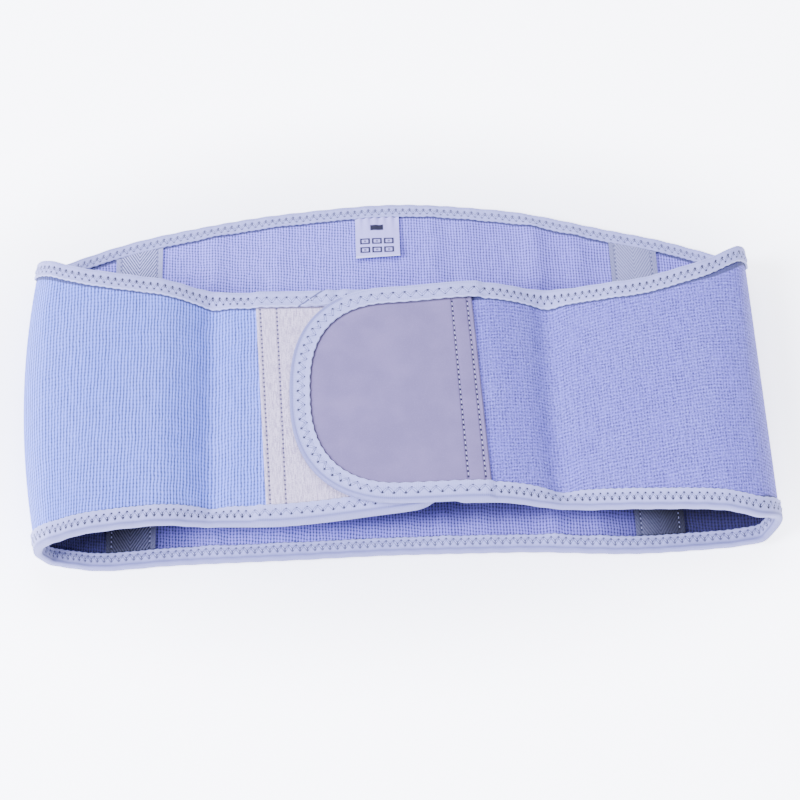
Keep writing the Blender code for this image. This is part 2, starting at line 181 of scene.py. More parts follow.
@dataclass
class BeltPath:
    """The belt's path and flat pattern, with the small waves that all its layers share."""

    width: float = 0.410
    depth: float = 0.034
    belly: float = 0.008
    band: float = 0.0020
    pad: float = 0.0012
    tab: float = 0.0016
    ply: float = 0.0010
    clear: float = 0.0003
    pad_length: float = 0.102
    tab_length: float = 0.1065
    tab_overlap: float = 0.012
    tip_reach: float = 0.062
    tip_power: float = 2.5
    corner: float = 0.018
    outside_leg: float = 0.0115
    inside_leg: float = 0.0095
    step_margin: float = 0.001
    step_ramp: float = 0.004
    gather_height: float = 0.00022
    gather_length: float = 0.0135
    gather_reach: float = 0.014
    gather_wander: float = 1.3
    wander_length: float = 0.019
    gather_slant: float = 7.0
    smooth_margin: float = 0.010
    smooth_ramp: float = 0.02
    lying_ramp: float = 0.01
    creases: tuple[Pair, ...] = ((-0.105, 0.0014), (-0.068, 0.0009), (0.023, 0.0010),
                                 (0.043, 0.0007), (0.083, 0.0022), (0.108, 0.0012))
    crease_width: float = 0.0058
    edge_lean: float = 0.041
    lean_reach: float = 0.045
    lean_start: float = 0.4
    lean_ramp: float = 0.5
    turn_step: float = 5.0
    path_samples: int = 4000
    lap_samples: int = 400
    slope_step: float = 0.0005
    valleys: tuple[tuple[str, float, float], ...] = (("left dip", 0.0034, 0.0090),
                                                     ("right dip", 0.0042, 0.0085))
    samples: np.ndarray = field(init=False)
    distance: np.ndarray = field(init=False)
    under: np.ndarray | None = field(init=False, default=None)
    tree: KDTree | None = field(init=False, default=None)

    def __post_init__(self) -> None:
        """Fit the curves to the stations and measure the distance along them."""
        half = self.width / 2
        floor_gap = self.band / 2 + self.clear + self.ply
        low = np.array([(r.across_low * half, floor_gap + r.rise_low * self.depth, r.low * r.height)
                        for r in STATIONS])
        high = np.array([(r.across_high * half, floor_gap + r.rise_high * self.depth,
                          r.high * r.height) for r in STATIONS])
        swell = np.array([(r.belly * self.belly * math.copysign(1, r.across_low), 0.0)
                          for r in STATIONS])
        middle = (low[:, :2] + high[:, :2]) / 2
        knots = np.concatenate([[0.0], np.cumsum(np.hypot(*np.diff(middle, axis=0).T))])
        self.low_rim = steady_curve(knots, low)
        self.high_rim = steady_curve(knots, high)
        self.swell = steady_curve(knots, swell)
        self.row = {r.name: knot for r, knot in zip(STATIONS, knots)}
        self.lap_height = 3 * self.clear + self.pad + 2 * self.ply
        self.last = knots[-1]
        self.measure()

    def measure(self) -> None:
        """Tabulate the distance along the path, and the underlap's height for the tab to lie on."""
        knots = np.linspace(0.0, self.row["left dip"], self.lap_samples)
        under = self.section(knots, np.full_like(knots, 0.5))
        self.under = under[np.argsort(under[:, 0])]
        self.samples = np.linspace(0.0, self.last, self.path_samples)
        path = self.section(self.samples, np.full_like(self.samples, 0.5))
        steps = np.hypot(*np.diff(path, axis=0).T)
        self.distance = np.concatenate([[0.0], np.cumsum(steps)])
        self.length = self.distance[-1]
        self.tab_start = self.length - self.tab_length
        self.band_end = self.tab_start + self.tab_overlap
        way = np.unwrap(np.arctan2(*np.gradient(path, axis=0).T))
        self.turned = np.concatenate([[0.0], np.cumsum(np.abs(np.diff(way)))])

    def section(self, knot: np.ndarray, across: np.ndarray) -> np.ndarray:
        """Return X and Z of the middle surface, at across from 0, the low rim, to 1, the high."""
        low, high = self.low_rim(knot)[:, :2], self.high_rim(knot)[:, :2]
        across = across[:, None]
        spot = low * (1 - across) + high * across + self.swell(knot) * 4 * across * (1 - across)
        if self.under is not None:
            spot[:, 1] = self.lie_on_underlap(knot, spot)
        return spot

    def lie_on_underlap(self, knot: np.ndarray, spot: np.ndarray) -> np.ndarray:
        """Bring the tab's height to the underlap's own height plus the lap."""
        start, finish = self.low_rim(np.array([self.row["tab seam"], 0.0]))[:, 0]
        share = smooth_step((start - spot[:, 0]) / (start - finish - self.step_margin))
        share = np.where(knot > self.row["right dip"], share, 0.0)
        lying = np.interp(spot[:, 0], self.under[:, 0], self.under[:, 1]) + self.lap_height
        return spot[:, 1] * (1 - share) + lying * share

    @property
    def fold_inset(self) -> float:
        """Return how far in from the rim a sheet ends inside the binding's fold."""
        return self.ply + self.clear

    def corner_columns(self, count: int) -> np.ndarray:
        """Return distances that follow the rounded corners of the underlap's end."""
        turn = np.radians(np.linspace(6, 90, count))
        return self.corner - (self.corner - self.fold_inset) * np.cos(turn)

    def knot(self, s: np.ndarray) -> np.ndarray:
        """Return the curves' own parameter at distance s along the belt."""
        return np.interp(s, self.distance, self.samples)

    def distance_of(self, name: str) -> float:
        """Return the distance along the belt of a named station."""
        return float(np.interp(self.row[name], self.samples, self.distance))

    def turns(self) -> Pair:
        """Return the distances along the belt of its two turns."""
        return self.distance_of("left turn"), self.distance_of("right turn")

    def rims(self, s: np.ndarray) -> tuple[np.ndarray, np.ndarray]:
        """Return Y of the low and the high rim at distance s, before any rounded end."""
        knot = self.knot(s)
        return self.low_rim(knot)[:, 2], self.high_rim(knot)[:, 2]

    def outline(self, s: np.ndarray, inset: float) -> tuple[np.ndarray, np.ndarray]:
        """Return the flat outline's low and high Y at s, inset from the rim, with rounded ends."""
        low, high = self.rims(s)
        inner = self.corner - inset
        arc = np.maximum(self.corner - s, 0)
        drop = self.corner - np.sqrt(np.maximum(inner ** 2 - arc ** 2, 0))
        middle, half = (low + high) / 2, (high - low) / 2 - drop
        reach = self.tip_reach - inset
        left = np.clip((self.length - inset - s) / reach, 0.0, 1.0)
        width = half * (1 - (1 - left) ** self.tip_power) ** (1 / self.tip_power)
        return middle - width, middle + width

    def columns(self, start: float, finish: float, step: float) -> np.ndarray:
        """Return distances from start to finish, closer together where the path turns."""
        count = self.distance / step + self.turned / math.radians(self.turn_step)
        first, last = np.interp([start, finish], self.distance, count)
        even = np.linspace(first, last, int(math.ceil(last - first)) + 1)
        return np.interp(even, count, self.distance)

    def channel(self, s: np.ndarray) -> tuple[np.ndarray, np.ndarray]:
        """Return n of the binding channel's inner and outer walls at distance s."""
        plain = self.band / 2 + self.clear
        near, far = self.step_margin, self.step_margin + self.step_ramp
        outer = np.interp(
            s,
            [self.pad_length + near, self.pad_length + far, self.tab_start - far,
             self.tab_start - near],
            [plain + self.clear + self.pad, plain, plain, plain + self.clear + self.tab])
        inner = np.interp(s, [self.band_end + near, self.band_end + far],
                          [-plain, plain - self.clear])
        return inner, outer

    def waves(self, s: np.ndarray, y: np.ndarray) -> np.ndarray:
        """Return how far the cloth waves out of its path, gathered at the rims and creased."""
        low, high = self.rims(s)
        edge = np.maximum(np.minimum(y - low, high - y), 0.0)
        share = (y - low) / (high - low)
        wander = self.gather_wander * np.sin(s / self.wander_length)
        swing = 2 * math.pi * s / self.gather_length + wander + self.gather_slant * share
        gather = self.gather_height * np.exp(-edge / self.gather_reach) * np.sin(swing)
        centre = self.distance_of("back centre")
        dent = sum(depth * hump(s, centre + place, self.crease_width)
                   for place, depth in self.creases)
        free = smooth_step((s - self.pad_length - self.smooth_margin) / self.smooth_ramp)
        free *= smooth_step((self.tab_start - self.smooth_margin - s) / self.smooth_ramp)
        lying = smooth_step((s - self.distance_of("left turn foot")) / self.lying_ramp)
        lying *= smooth_step((self.distance_of("right turn foot") - s) / self.lying_ramp)
        inside = smooth_step(edge / self.gather_reach)
        for name, depth, width in self.valleys:
            dent = dent + depth * hump(s, self.distance_of(name), width)
        return free * (gather - self.gather_height * lying - dent * inside)

    def remember_rim(self, loop: np.ndarray) -> None:
        """Keep the rim's flat points, so that distances to it can be asked for."""
        self.tree = KDTree(len(loop))
        for index, (s, y) in enumerate(loop[:, :2]):
            self.tree.insert((s, y, 0.0), index)
        self.tree.balance()

    def reach_in(self, s: np.ndarray, y: np.ndarray) -> np.ndarray:
        """Return how far flat points lie in from the rim."""
        return np.array([self.tree.find((a, b, 0.0))[2] for a, b in zip(s, y)])

    def leaned(self, s: np.ndarray, y: np.ndarray, edge: float | None) -> np.ndarray:
        """Move points along the belt as a straight cut edge leans, though not under the binding.

        Args:
            s: distances along the belt.
            y: distances across it.
            edge: the cut edge's distance along the belt, or None where nothing leans.

        Returns:
            The distances along the belt with the lean.
        """
        if edge is None:
            return s
        near = smooth_step(1 - np.abs(s - edge) / self.lean_reach)
        reach = self.reach_in(s, y) / self.outside_leg
        bare = smooth_step((reach - self.lean_start) / self.lean_ramp)
        return s + self.edge_lean * y * near * bare

    def place(self, s: np.ndarray, y: np.ndarray, n: np.ndarray) -> np.ndarray:
        """Wrap flat points round the path.

        Args:
            s: distances along the belt.
            y: distances across it.
            n: heights out from the band's middle surface.

        Returns:
            Rows of X, Y and Z in the frame.
        """
        low, high = self.rims(s)
        across = (y - low) / (high - low)
        knot = self.knot(s)
        spot = self.section(knot, across)
        ahead = self.section(np.minimum(knot + self.slope_step, self.last), across)
        way = ahead - self.section(np.maximum(knot - self.slope_step, 0.0), across)
        way /= np.linalg.norm(way, axis=1)[:, None]
        n = n + self.waves(s, y)
        spots = np.column_stack([spot[:, 0] + way[:, 1] * n, y, spot[:, 1] - way[:, 0] * n])
        return spots - DRAWING_SHIFT


class Graph:
    """A cloth finish's node tree, with short calls for the nodes that the finishes share."""

    def __init__(self, name: str) -> None:
        """Start a material with its main shader."""
        self.material = bpy.data.materials.new(name)
        self.material.use_nodes = True
        self.tree = self.material.node_tree
        self.shader = self.tree.nodes["Principled BSDF"]
        self.u, self.v = self.split(self.add("ShaderNodeUVMap", uv_map=CLOTH_MAP).outputs["UV"])

    def rim_line(self, leg: float) -> Sockets:
        """Return 1 along the thin line where the binding's free edge shades the cloth."""
        reach = self.split(self.add("ShaderNodeUVMap", uv_map=RIM_MAP).outputs["UV"])[0]
        return self.ease(reach, leg + RIM_LINE[0], leg + RIM_LINE[1])

    def add(self, kind: str, **settings: object) -> bpy.types.Node:
        """Add a node of a kind and return it."""
        node = self.tree.nodes.new(kind)
        for name, value in settings.items():
            setattr(node, name, value)
        return node

    def put(self, socket: Sockets, value: object) -> None:
        """Link a socket to another one, or set it to a constant."""
        if isinstance(value, bpy.types.NodeSocket):
            self.tree.links.new(value, socket)
        else:
            socket.default_value = value

    def split(self, vector: Sockets) -> tuple[Sockets, Sockets]:
        """Return the first two parts of a vector."""
        node = self.add("ShaderNodeSeparateXYZ")
        self.put(node.inputs[0], vector)
        return node.outputs[0], node.outputs[1]

    def do(self, operation: str, *values: object) -> Sockets:
        """Return the result of a maths node."""
        node = self.add("ShaderNodeMath", operation=operation)
        for socket, value in zip(node.inputs, values):
            self.put(socket, value)
        return node.outputs[0]

    def ease(self, value: Sockets, low: float, high: float) -> Sockets:
        """Return 0 below low, 1 above high, and a smooth rise between. high may be the lower."""
        node = self.add("ShaderNodeMapRange", interpolation_type="SMOOTHSTEP")
        flip = high < low
        for name, number in zip(("From Min", "From Max", "To Min", "To Max"),
                                (min(low, high), max(low, high), float(flip), float(not flip))):
            node.inputs[name].default_value = number
        self.put(node.inputs["Value"], value)
        return node.outputs["Result"]

    def mix(self, share: object, first: object, second: object) -> Sockets:
        """Return a colour that goes from first to second with share."""
        node = self.add("ShaderNodeMix", data_type="RGBA")
        self.put(node.inputs["Factor"], share)
        for name, colour in (("A", first), ("B", second)):
            socket = next(i for i in node.inputs if i.name == name and i.type == "RGBA")
            self.put(socket, (*colour, 1.0) if isinstance(colour, tuple) else colour)
        return next(o for o in node.outputs if o.type == "RGBA")

    def scaled(self, colour: Sockets, share: Sockets) -> Sockets:
        """Return a colour made darker or lighter by a share."""
        node = self.add("ShaderNodeVectorMath", operation="SCALE")
        self.put(node.inputs["Vector"], colour)
        self.put(node.inputs["Scale"], share)
        return node.outputs["Vector"]

    def noise(self, size: float, detail: float = 2.0, stretch: float = 1.0,
              on_object: bool = False) -> Sockets:
        """Return cloudy noise from 0 to 1.

        Args:
            size: the clouds' size in metres.
            detail: how many finer layers are added.
            stretch: how many times longer the clouds are along y.
            on_object: read the place in space, for a piece whose map isn't in metres.

        Returns:
            The noise.
        """
        node = self.add("ShaderNodeTexNoise")
        node.inputs["Scale"].default_value = 1 / size
        node.inputs["Detail"].default_value = detail
        if on_object:
            spot = self.add("ShaderNodeTexCoord").outputs["Object"]
        else:
            join = self.add("ShaderNodeCombineXYZ")
            self.put(join.inputs[0], self.u)
            self.put(join.inputs[1], self.do("DIVIDE", self.v, stretch))
            spot = join.outputs[0]
        self.put(node.inputs["Vector"], spot)
        return node.outputs["Fac"]

    def wave(self, value: Sockets, pitch: float) -> Sockets:
        """Return ridges from 0 to 1, one a pitch, with a ridge at 0."""
        turn = self.do("MULTIPLY", value, 2 * math.pi / pitch)
        return self.do("MULTIPLY_ADD", self.do("COSINE", turn), 0.5, 0.5)

    def near(self, value: Sockets, pitch: float) -> Sockets:
        """Return the distance to the nearest whole number of pitches."""
        return self.do("PINGPONG", value, pitch / 2)

    def spot(self, across: Sockets, along: Sockets, width: float, length: float) -> Sockets:
        """Return 1 at a spot's middle and 0 outside it, from its two distances."""
        wide = self.do("POWER", self.do("DIVIDE", across, width / 2), 2.0)
        long = self.do("POWER", self.do("DIVIDE", along, length / 2), 2.0)
        return self.ease(self.do("ADD", wide, long), 1.3, 0.3)

    def total(self, *parts: tuple[Sockets, float]) -> Sockets:
        """Return the sum of parts, each times its own share."""
        result: object = 0.0
        for value, share in parts:
            result = self.do("MULTIPLY_ADD", value, share, result)
        return result

    def finish(self, colour: Sockets, height: Sockets, depth: float, roughness: float,
               sheen: float, tint: Colour) -> bpy.types.Material:
        """Link the colour and the relief, and set the shader's constants.

        Args:
            colour: the cloth's colour.
            height: the relief, from 0 to 1.
            depth: the relief's real depth in metres.
            roughness: the shader's roughness.
            sheen: how much fine fuzz catches the light.
            tint: the fuzz's colour.

        Returns:
            The material.
        """
        bump = self.add("ShaderNodeBump")
        bump.inputs["Strength"].default_value = 1.0
        bump.inputs["Distance"].default_value = depth
        self.put(bump.inputs["Height"], height)
        self.put(self.shader.inputs["Normal"], bump.outputs["Normal"])
        self.put(self.shader.inputs["Base Color"], colour)
        for name, value in (("Roughness", roughness), ("Sheen Weight", sheen),
                            ("Sheen Roughness", SHEEN_ROUGHNESS), ("Sheen Tint", (*tint, 1.0)),
                            ("Specular IOR Level", CLOTH_SPECULAR)):
            self.shader.inputs[name].default_value = value
        return self.material


@dataclass(frozen=True)
class InsideShade:
    """The dark deep inside the belt: by its turns, towards the low rim, and under its front."""

    turns: Pair
    turn_reach: Pair = (0.122, 0.058)
    turn_rise: Pair = (0.060, -0.040)
    turn_dark: float = 0.88
    front_low: Pair = (-0.080, -0.066)
    front_high: Pair = (0.095, 0.062)
    front_dark: float = 0.62

    def share(self, g: Graph) -> Sockets:
        """Return the share of light that is left at each place."""
        turned: object = 0.0
        for turn in self.turns:
            off = g.do("ABSOLUTE", g.do("SUBTRACT", g.u, turn))
            turned = g.do("MAXIMUM", turned, g.ease(off, *self.turn_reach))
        turned = g.do("MULTIPLY", turned, g.ease(g.v, *self.turn_rise))
        under = g.do("MULTIPLY", g.ease(g.v, *self.front_low), g.ease(g.v, *self.front_high))
        light = g.total((turned, -self.turn_dark), (1.0, 1.0))
        return g.do("MULTIPLY", light, g.total((under, -self.front_dark), (1.0, 1.0)))


@dataclass(frozen=True)
class KnitFinish:
    """Elastic knit: upright ribs on the left and inside, a slanting grid of loops on the right. Its
    colour is painted lighter and bluer on the left half and dimmer on the right, as light falls.
    """

    face: Face
    leg: float
    inside_shade: InsideShade
    # Painted light: the left half's colours are lit lighter and bluer, the right half's dimmer and
    # more lavender, as in shade
    lit_left_colour: Colour = (0.200, 0.270, 1.00)
    shaded_right_colour: Colour = (0.208, 0.176, 0.72)
    lit_inner_colour: Colour = (0.335, 0.275, 1.00)
    shaded_inner_right: Colour = (0.270, 0.220, 0.84)
    light_colour: Colour = (0.42, 0.46, 0.95)
    lit_left_groove: Colour = (0.034, 0.046, 0.140)
    shaded_right_groove: Colour = (0.046, 0.040, 0.130)
    # Painted shadow along the binding's free edge
    rim_shadow_colour: Colour = (0.050, 0.052, 0.105)
    tint: Colour = (0.85, 0.88, 1.0)
    front_rib: float = 0.0018
    front_course: float = 0.0024
    front_cross: float = 0.10
    grid_column: float = 0.0016
    grid_row: float = 0.0023
    inner_rib: float = 0.00168
    inner_course: float = 0.0021
    inner_cross: float = 0.30
    row_slope: float = 0.10
    sway_size: float = 0.016
    sway: Pair = (0.0014, 0.0028)
    drift_size: float = 0.0035
    drift: Pair = (0.0006, 0.0013)
    cloud_size: float = 0.03
    fleck_size: float = 0.0013
    streak_size: float = 0.0021
    loop_size: float = 0.0011
    fuzz_size: float = 0.0006
    change_start: float = 0.40
    change_end: float = 0.52
    deepest: float = 0.96
    relief: float = 0.0003

    def material(self) -> bpy.types.Material:
        """Return the knit's material."""
        g = Graph(f"knit_{self.face.name.lower()}")
        sway = g.do("SUBTRACT", g.noise(self.sway_size, 2.0), 0.5)
        drift = g.do("SUBTRACT", g.noise(self.drift_size, 1.0), 0.5)
        column = g.total((g.u, 1.0), (sway, self.sway[0]), (drift, self.drift[0]))
        row = g.total((g.v, 1.0), (sway, self.sway[1]), (drift, self.drift[1]),
                      (g.u, self.row_slope))
        # The zone changes the weave, which is the knit's own, and the painted light from the lit
        # left half to the shaded right half
        zone = g.ease(g.u, self.change_start, self.change_end)
        if self.face is Face.OUTER:
            ribbed = self.ribbed(g, column, row, self.front_rib, self.front_course,
                                 self.front_cross)
            grid = self.grid(g, column, row)
            dark = g.total((ribbed, 1.0),
                           (g.do("MULTIPLY", zone, g.do("SUBTRACT", grid, ribbed)), 1.0))
            base = g.mix(zone, self.lit_left_colour, self.shaded_right_colour)
        else:
            dark = self.ribbed(g, column, row, self.inner_rib, self.inner_course,
                               self.inner_cross)
            base = g.mix(zone, self.lit_inner_colour, self.shaded_inner_right)
        cloud = g.noise(self.cloud_size, 4.0, 2.0)
        base = g.mix(g.total((g.ease(cloud, 0.35, 0.75), 0.10)), base, self.light_colour)
        fleck = g.ease(g.noise(self.fleck_size, 1.0), 0.52, 0.72)
        base = g.mix(g.total((fleck, 0.30)), base, self.light_colour)
        streak = g.noise(self.streak_size, 1.0, 6.0)
        depth = g.do("MULTIPLY", dark, g.total((streak, 0.9), (1.0, 0.5)))
        groove = g.mix(zone, self.lit_left_groove, self.shaded_right_groove)
        colour = g.mix(g.do("MINIMUM", depth, self.deepest), base, groove)
        if self.face is Face.INNER:
            colour = g.scaled(colour, self.inside_shade.share(g))
        # Painted shadow along the binding's free edge
        colour = g.mix(g.total((g.rim_line(self.leg), 0.86)), colour, self.rim_shadow_colour)
        height = g.total((dark, -0.9), (fleck, 0.12), (g.noise(self.fuzz_size, 1.0), 0.2))
        return g.finish(colour, height, self.relief, 0.92, 0.15, self.tint)

    def ribbed(self, g: Graph, column: Sockets, row: Sockets, rib: float, course: float,
               cross: float) -> Sockets:
        """Return the dark of upright ribs, crossed by courses of loops.

        Args:
            g: the finish's node tree.
            column: the place across the ribs.
            row: the place across the courses.
            rib: the ribs' pitch.
            course: the courses' pitch.
            cross: how strongly a course crosses the ribs' crests.

        Returns:
            The dark, about 0 to 1.
        """
        gutter = g.do("POWER", g.do("SUBTRACT", 1.0, g.wave(column, rib)), 1.5)
        step = g.total((g.wave(row, course), 0.7), (g.wave(row, course / 2), 0.3))
        return g.total((gutter, 0.68 - 1.1 * cross),
                       (g.do("MULTIPLY", gutter, step), 0.46 + cross), (step, cross))

    def grid(self, g: Graph, column: Sockets, row: Sockets) -> Sockets:
        """Return the dark of an uneven grid of loops."""
        upright = g.wave(column, self.grid_column)
        level = g.wave(row, self.grid_row)
        loops = g.ease(g.noise(self.loop_size, 1.0), 0.35, 0.65)
        return g.total((g.do("MULTIPLY", upright, level), 0.29), (upright, 0.18), (level, 0.20),
                       (loops, 0.42))


@dataclass(frozen=True)
class SeamLine:
    """A row of lock stitches: its distance along the belt, its stitch, the edge it leans with."""

    at: float
    pitch: float = 0.0034
    edge: float | None = None


def sewn_rows(g: Graph, seams: tuple[SeamLine, ...], hole: Pair = (0.0013, 0.0017),
              furrow: Pair = (0.0012, 0.0002)) -> tuple[Sockets, Sockets]:
    """Draw needle holes and the soft furrow that each row of stitches pulls into its cloth.

    Args:
        g: the finish's node tree.
        seams: the rows.
        hole: a needle hole's width and length.
        furrow: how far from the row the furrow begins, and where it is deepest.

    Returns:
        The holes and the furrow, each from 0 to 1.
    """
    holes: object = 0.0
    pulled: object = 0.0
    for seam in seams:
        off = g.do("ABSOLUTE", g.do("SUBTRACT", g.u, seam.at))
        holes = g.do("MAXIMUM", holes, g.spot(off, g.near(g.v, seam.pitch), *hole))
        pulled = g.do("MAXIMUM", pulled, g.ease(off, *furrow))
    return holes, pulled


@dataclass(frozen=True)
class PileFinish:
    """Short brushed loop pile, cream, with its two sewn rows."""

    seams: tuple[SeamLine, ...]
    leg: float
    colour: Colour = (0.52, 0.43, 0.53)
    shade: Colour = (0.31, 0.245, 0.335)
    light: Colour = (0.65, 0.555, 0.64)
    hole_colour: Colour = (0.07, 0.055, 0.11)
    # Painted shadow along the binding's free edge
    rim_shadow_colour: Colour = (0.08, 0.07, 0.13)
    tint: Colour = (0.96, 0.95, 1.0)
    grain_size: float = 0.0007
    grain_stretch: float = 9.0
    curl_size: float = 0.0009
    cloud_size: float = 0.018
    relief: float = 0.00035

    def material(self) -> bpy.types.Material:
        """Return the pile's material."""
        g = Graph("loop_pile")
        grain = g.noise(self.grain_size, 3.0, self.grain_stretch)
        curl = g.noise(self.curl_size, 3.0)
        cloud = g.noise(self.cloud_size, 3.0, 3.0)
        tuft = g.ease(g.total((grain, 0.6), (curl, 0.4)), 0.58, 0.40)
        colour = g.mix(tuft, self.light, self.shade)
        colour = g.mix(g.total((g.ease(cloud, 0.35, 0.75), 0.4), (1.0, 0.15)), colour, self.colour)
        sewn, pulled = sewn_rows(g, self.seams)
        # Painted shade in the furrow that the sewn rows pull into the pile
        colour = g.mix(g.total((pulled, 0.25)), colour, self.shade)
        colour = g.mix(sewn, colour, self.hole_colour)
        # Painted shadow along the binding's free edge
        colour = g.mix(g.total((g.rim_line(self.leg), 0.75)), colour, self.rim_shadow_colour)
        height = g.total((grain, 0.6), (curl, 0.7), (pulled, -0.8), (sewn, -0.5))
        return g.finish(colour, height, self.relief, 0.95, 0.3, self.tint)


@dataclass(frozen=True)
class LaminateFinish:
    """Smooth laminated cloth of the closure tab, faintly mottled, with its two sewn rows."""

    seams: tuple[SeamLine, ...]
    leg: float
    colour: Colour = (0.190, 0.144, 0.264)
    shade: Colour = (0.160, 0.122, 0.230)
    fleck: Colour = (0.29, 0.24, 0.37)
    # Painted shade in the sewn rows' furrow
    furrow_shade: Colour = (0.10, 0.07, 0.16)
    hole_colour: Colour = (0.015, 0.012, 0.035)
    # Painted shadow along the binding's free edge
    rim_shadow_colour: Colour = (0.035, 0.028, 0.050)
    tint: Colour = (0.9, 0.9, 1.0)
    cloud_size: float = 0.022
    fine_size: float = 0.0008
    relief: float = 0.0003

    def material(self) -> bpy.types.Material:
        """Return the laminate's material."""
        g = Graph("laminate")
        cloud = g.noise(self.cloud_size, 4.0)
        fine = g.noise(self.fine_size, 2.0)
        colour = g.mix(g.ease(cloud, 0.35, 0.7), self.shade, self.colour)
        colour = g.mix(g.total((g.ease(fine, 0.5, 0.7), 0.15)), colour, self.fleck)
        sewn, pulled = sewn_rows(g, self.seams)
        # Painted shade in the furrow that the sewn rows pull into the laminate
        colour = g.mix(g.total((pulled, 0.25)), colour, self.furrow_shade)
        colour = g.mix(sewn, colour, self.hole_colour)
        # Painted shadow along the binding's free edge
        colour = g.mix(g.total((g.rim_line(self.leg), 0.7)), colour, self.rim_shadow_colour)
        height = g.total((cloud, 0.8), (fine, 0.12), (pulled, -1.0), (sewn, -0.6))
        return g.finish(colour, height, self.relief, 0.55, 0.15, self.tint)


@dataclass(frozen=True)
class TwillFinish:
    """Herringbone twill tape with one apex down its middle and plain selvedges."""

    middle: float
    width: float
    seams: tuple[SeamLine, ...]
    inside_shade: InsideShade
    # The share of light painted on the whole tape: the right tape is painted darker, as in shade
    painted_light_share: float
    bold: float
    pitch: float = 0.0028
    slope: float = -1.8
    selvedge: float = 0.0026
    selvedge_ramp: float = 0.0003
    weave: Pair = (0.0006, 0.0007)
    colour: Colour = (0.50, 0.50, 0.78)
    shade: Colour = (0.050, 0.050, 0.12)
    light: Colour = (0.40, 0.40, 0.60)
    tint: Colour = (0.9, 0.9, 1.0)
    relief: float = 0.0003

    def material(self) -> bpy.types.Material:
        """Return the tape's material."""
        g = Graph("twill_tape")
        off = g.do("ABSOLUTE", g.do("SUBTRACT", g.u, self.middle))
        slant = g.total((g.v, 1.0), (off, self.slope))
        ridge = g.wave(slant, self.pitch)
        edge = self.width / 2 - self.selvedge
        plain = g.ease(off, edge - self.selvedge_ramp, edge)
        weave = g.do("MULTIPLY", g.wave(g.u, self.weave[0]), g.wave(g.v, self.weave[1]))
        line = g.do("MULTIPLY", g.do("SUBTRACT", 1.0, ridge), g.do("SUBTRACT", 1.0, plain))
        line = g.do("MULTIPLY", line, g.total((g.noise(0.0015, 1.0), 0.8), (1.0, 0.55)))
        colour = g.mix(g.total((line, self.bold), (plain, 0.42)), self.colour, self.shade)
        colour = g.mix(g.total((g.noise(0.006, 3.0), 0.15)), colour, self.light)
        sewn, pulled = sewn_rows(g, self.seams)
        colour = g.mix(g.total((sewn, 0.6)), colour, self.shade)
        # Painted shade: the inside shade times the tape's own painted share of light
        colour = g.scaled(colour, g.total((self.inside_shade.share(g), self.painted_light_share)))
        height = g.total((ridge, 0.5), (weave, 0.4), (pulled, -0.7), (sewn, -0.6))
        return g.finish(colour, height, self.relief, 0.85, 0.12, self.tint)


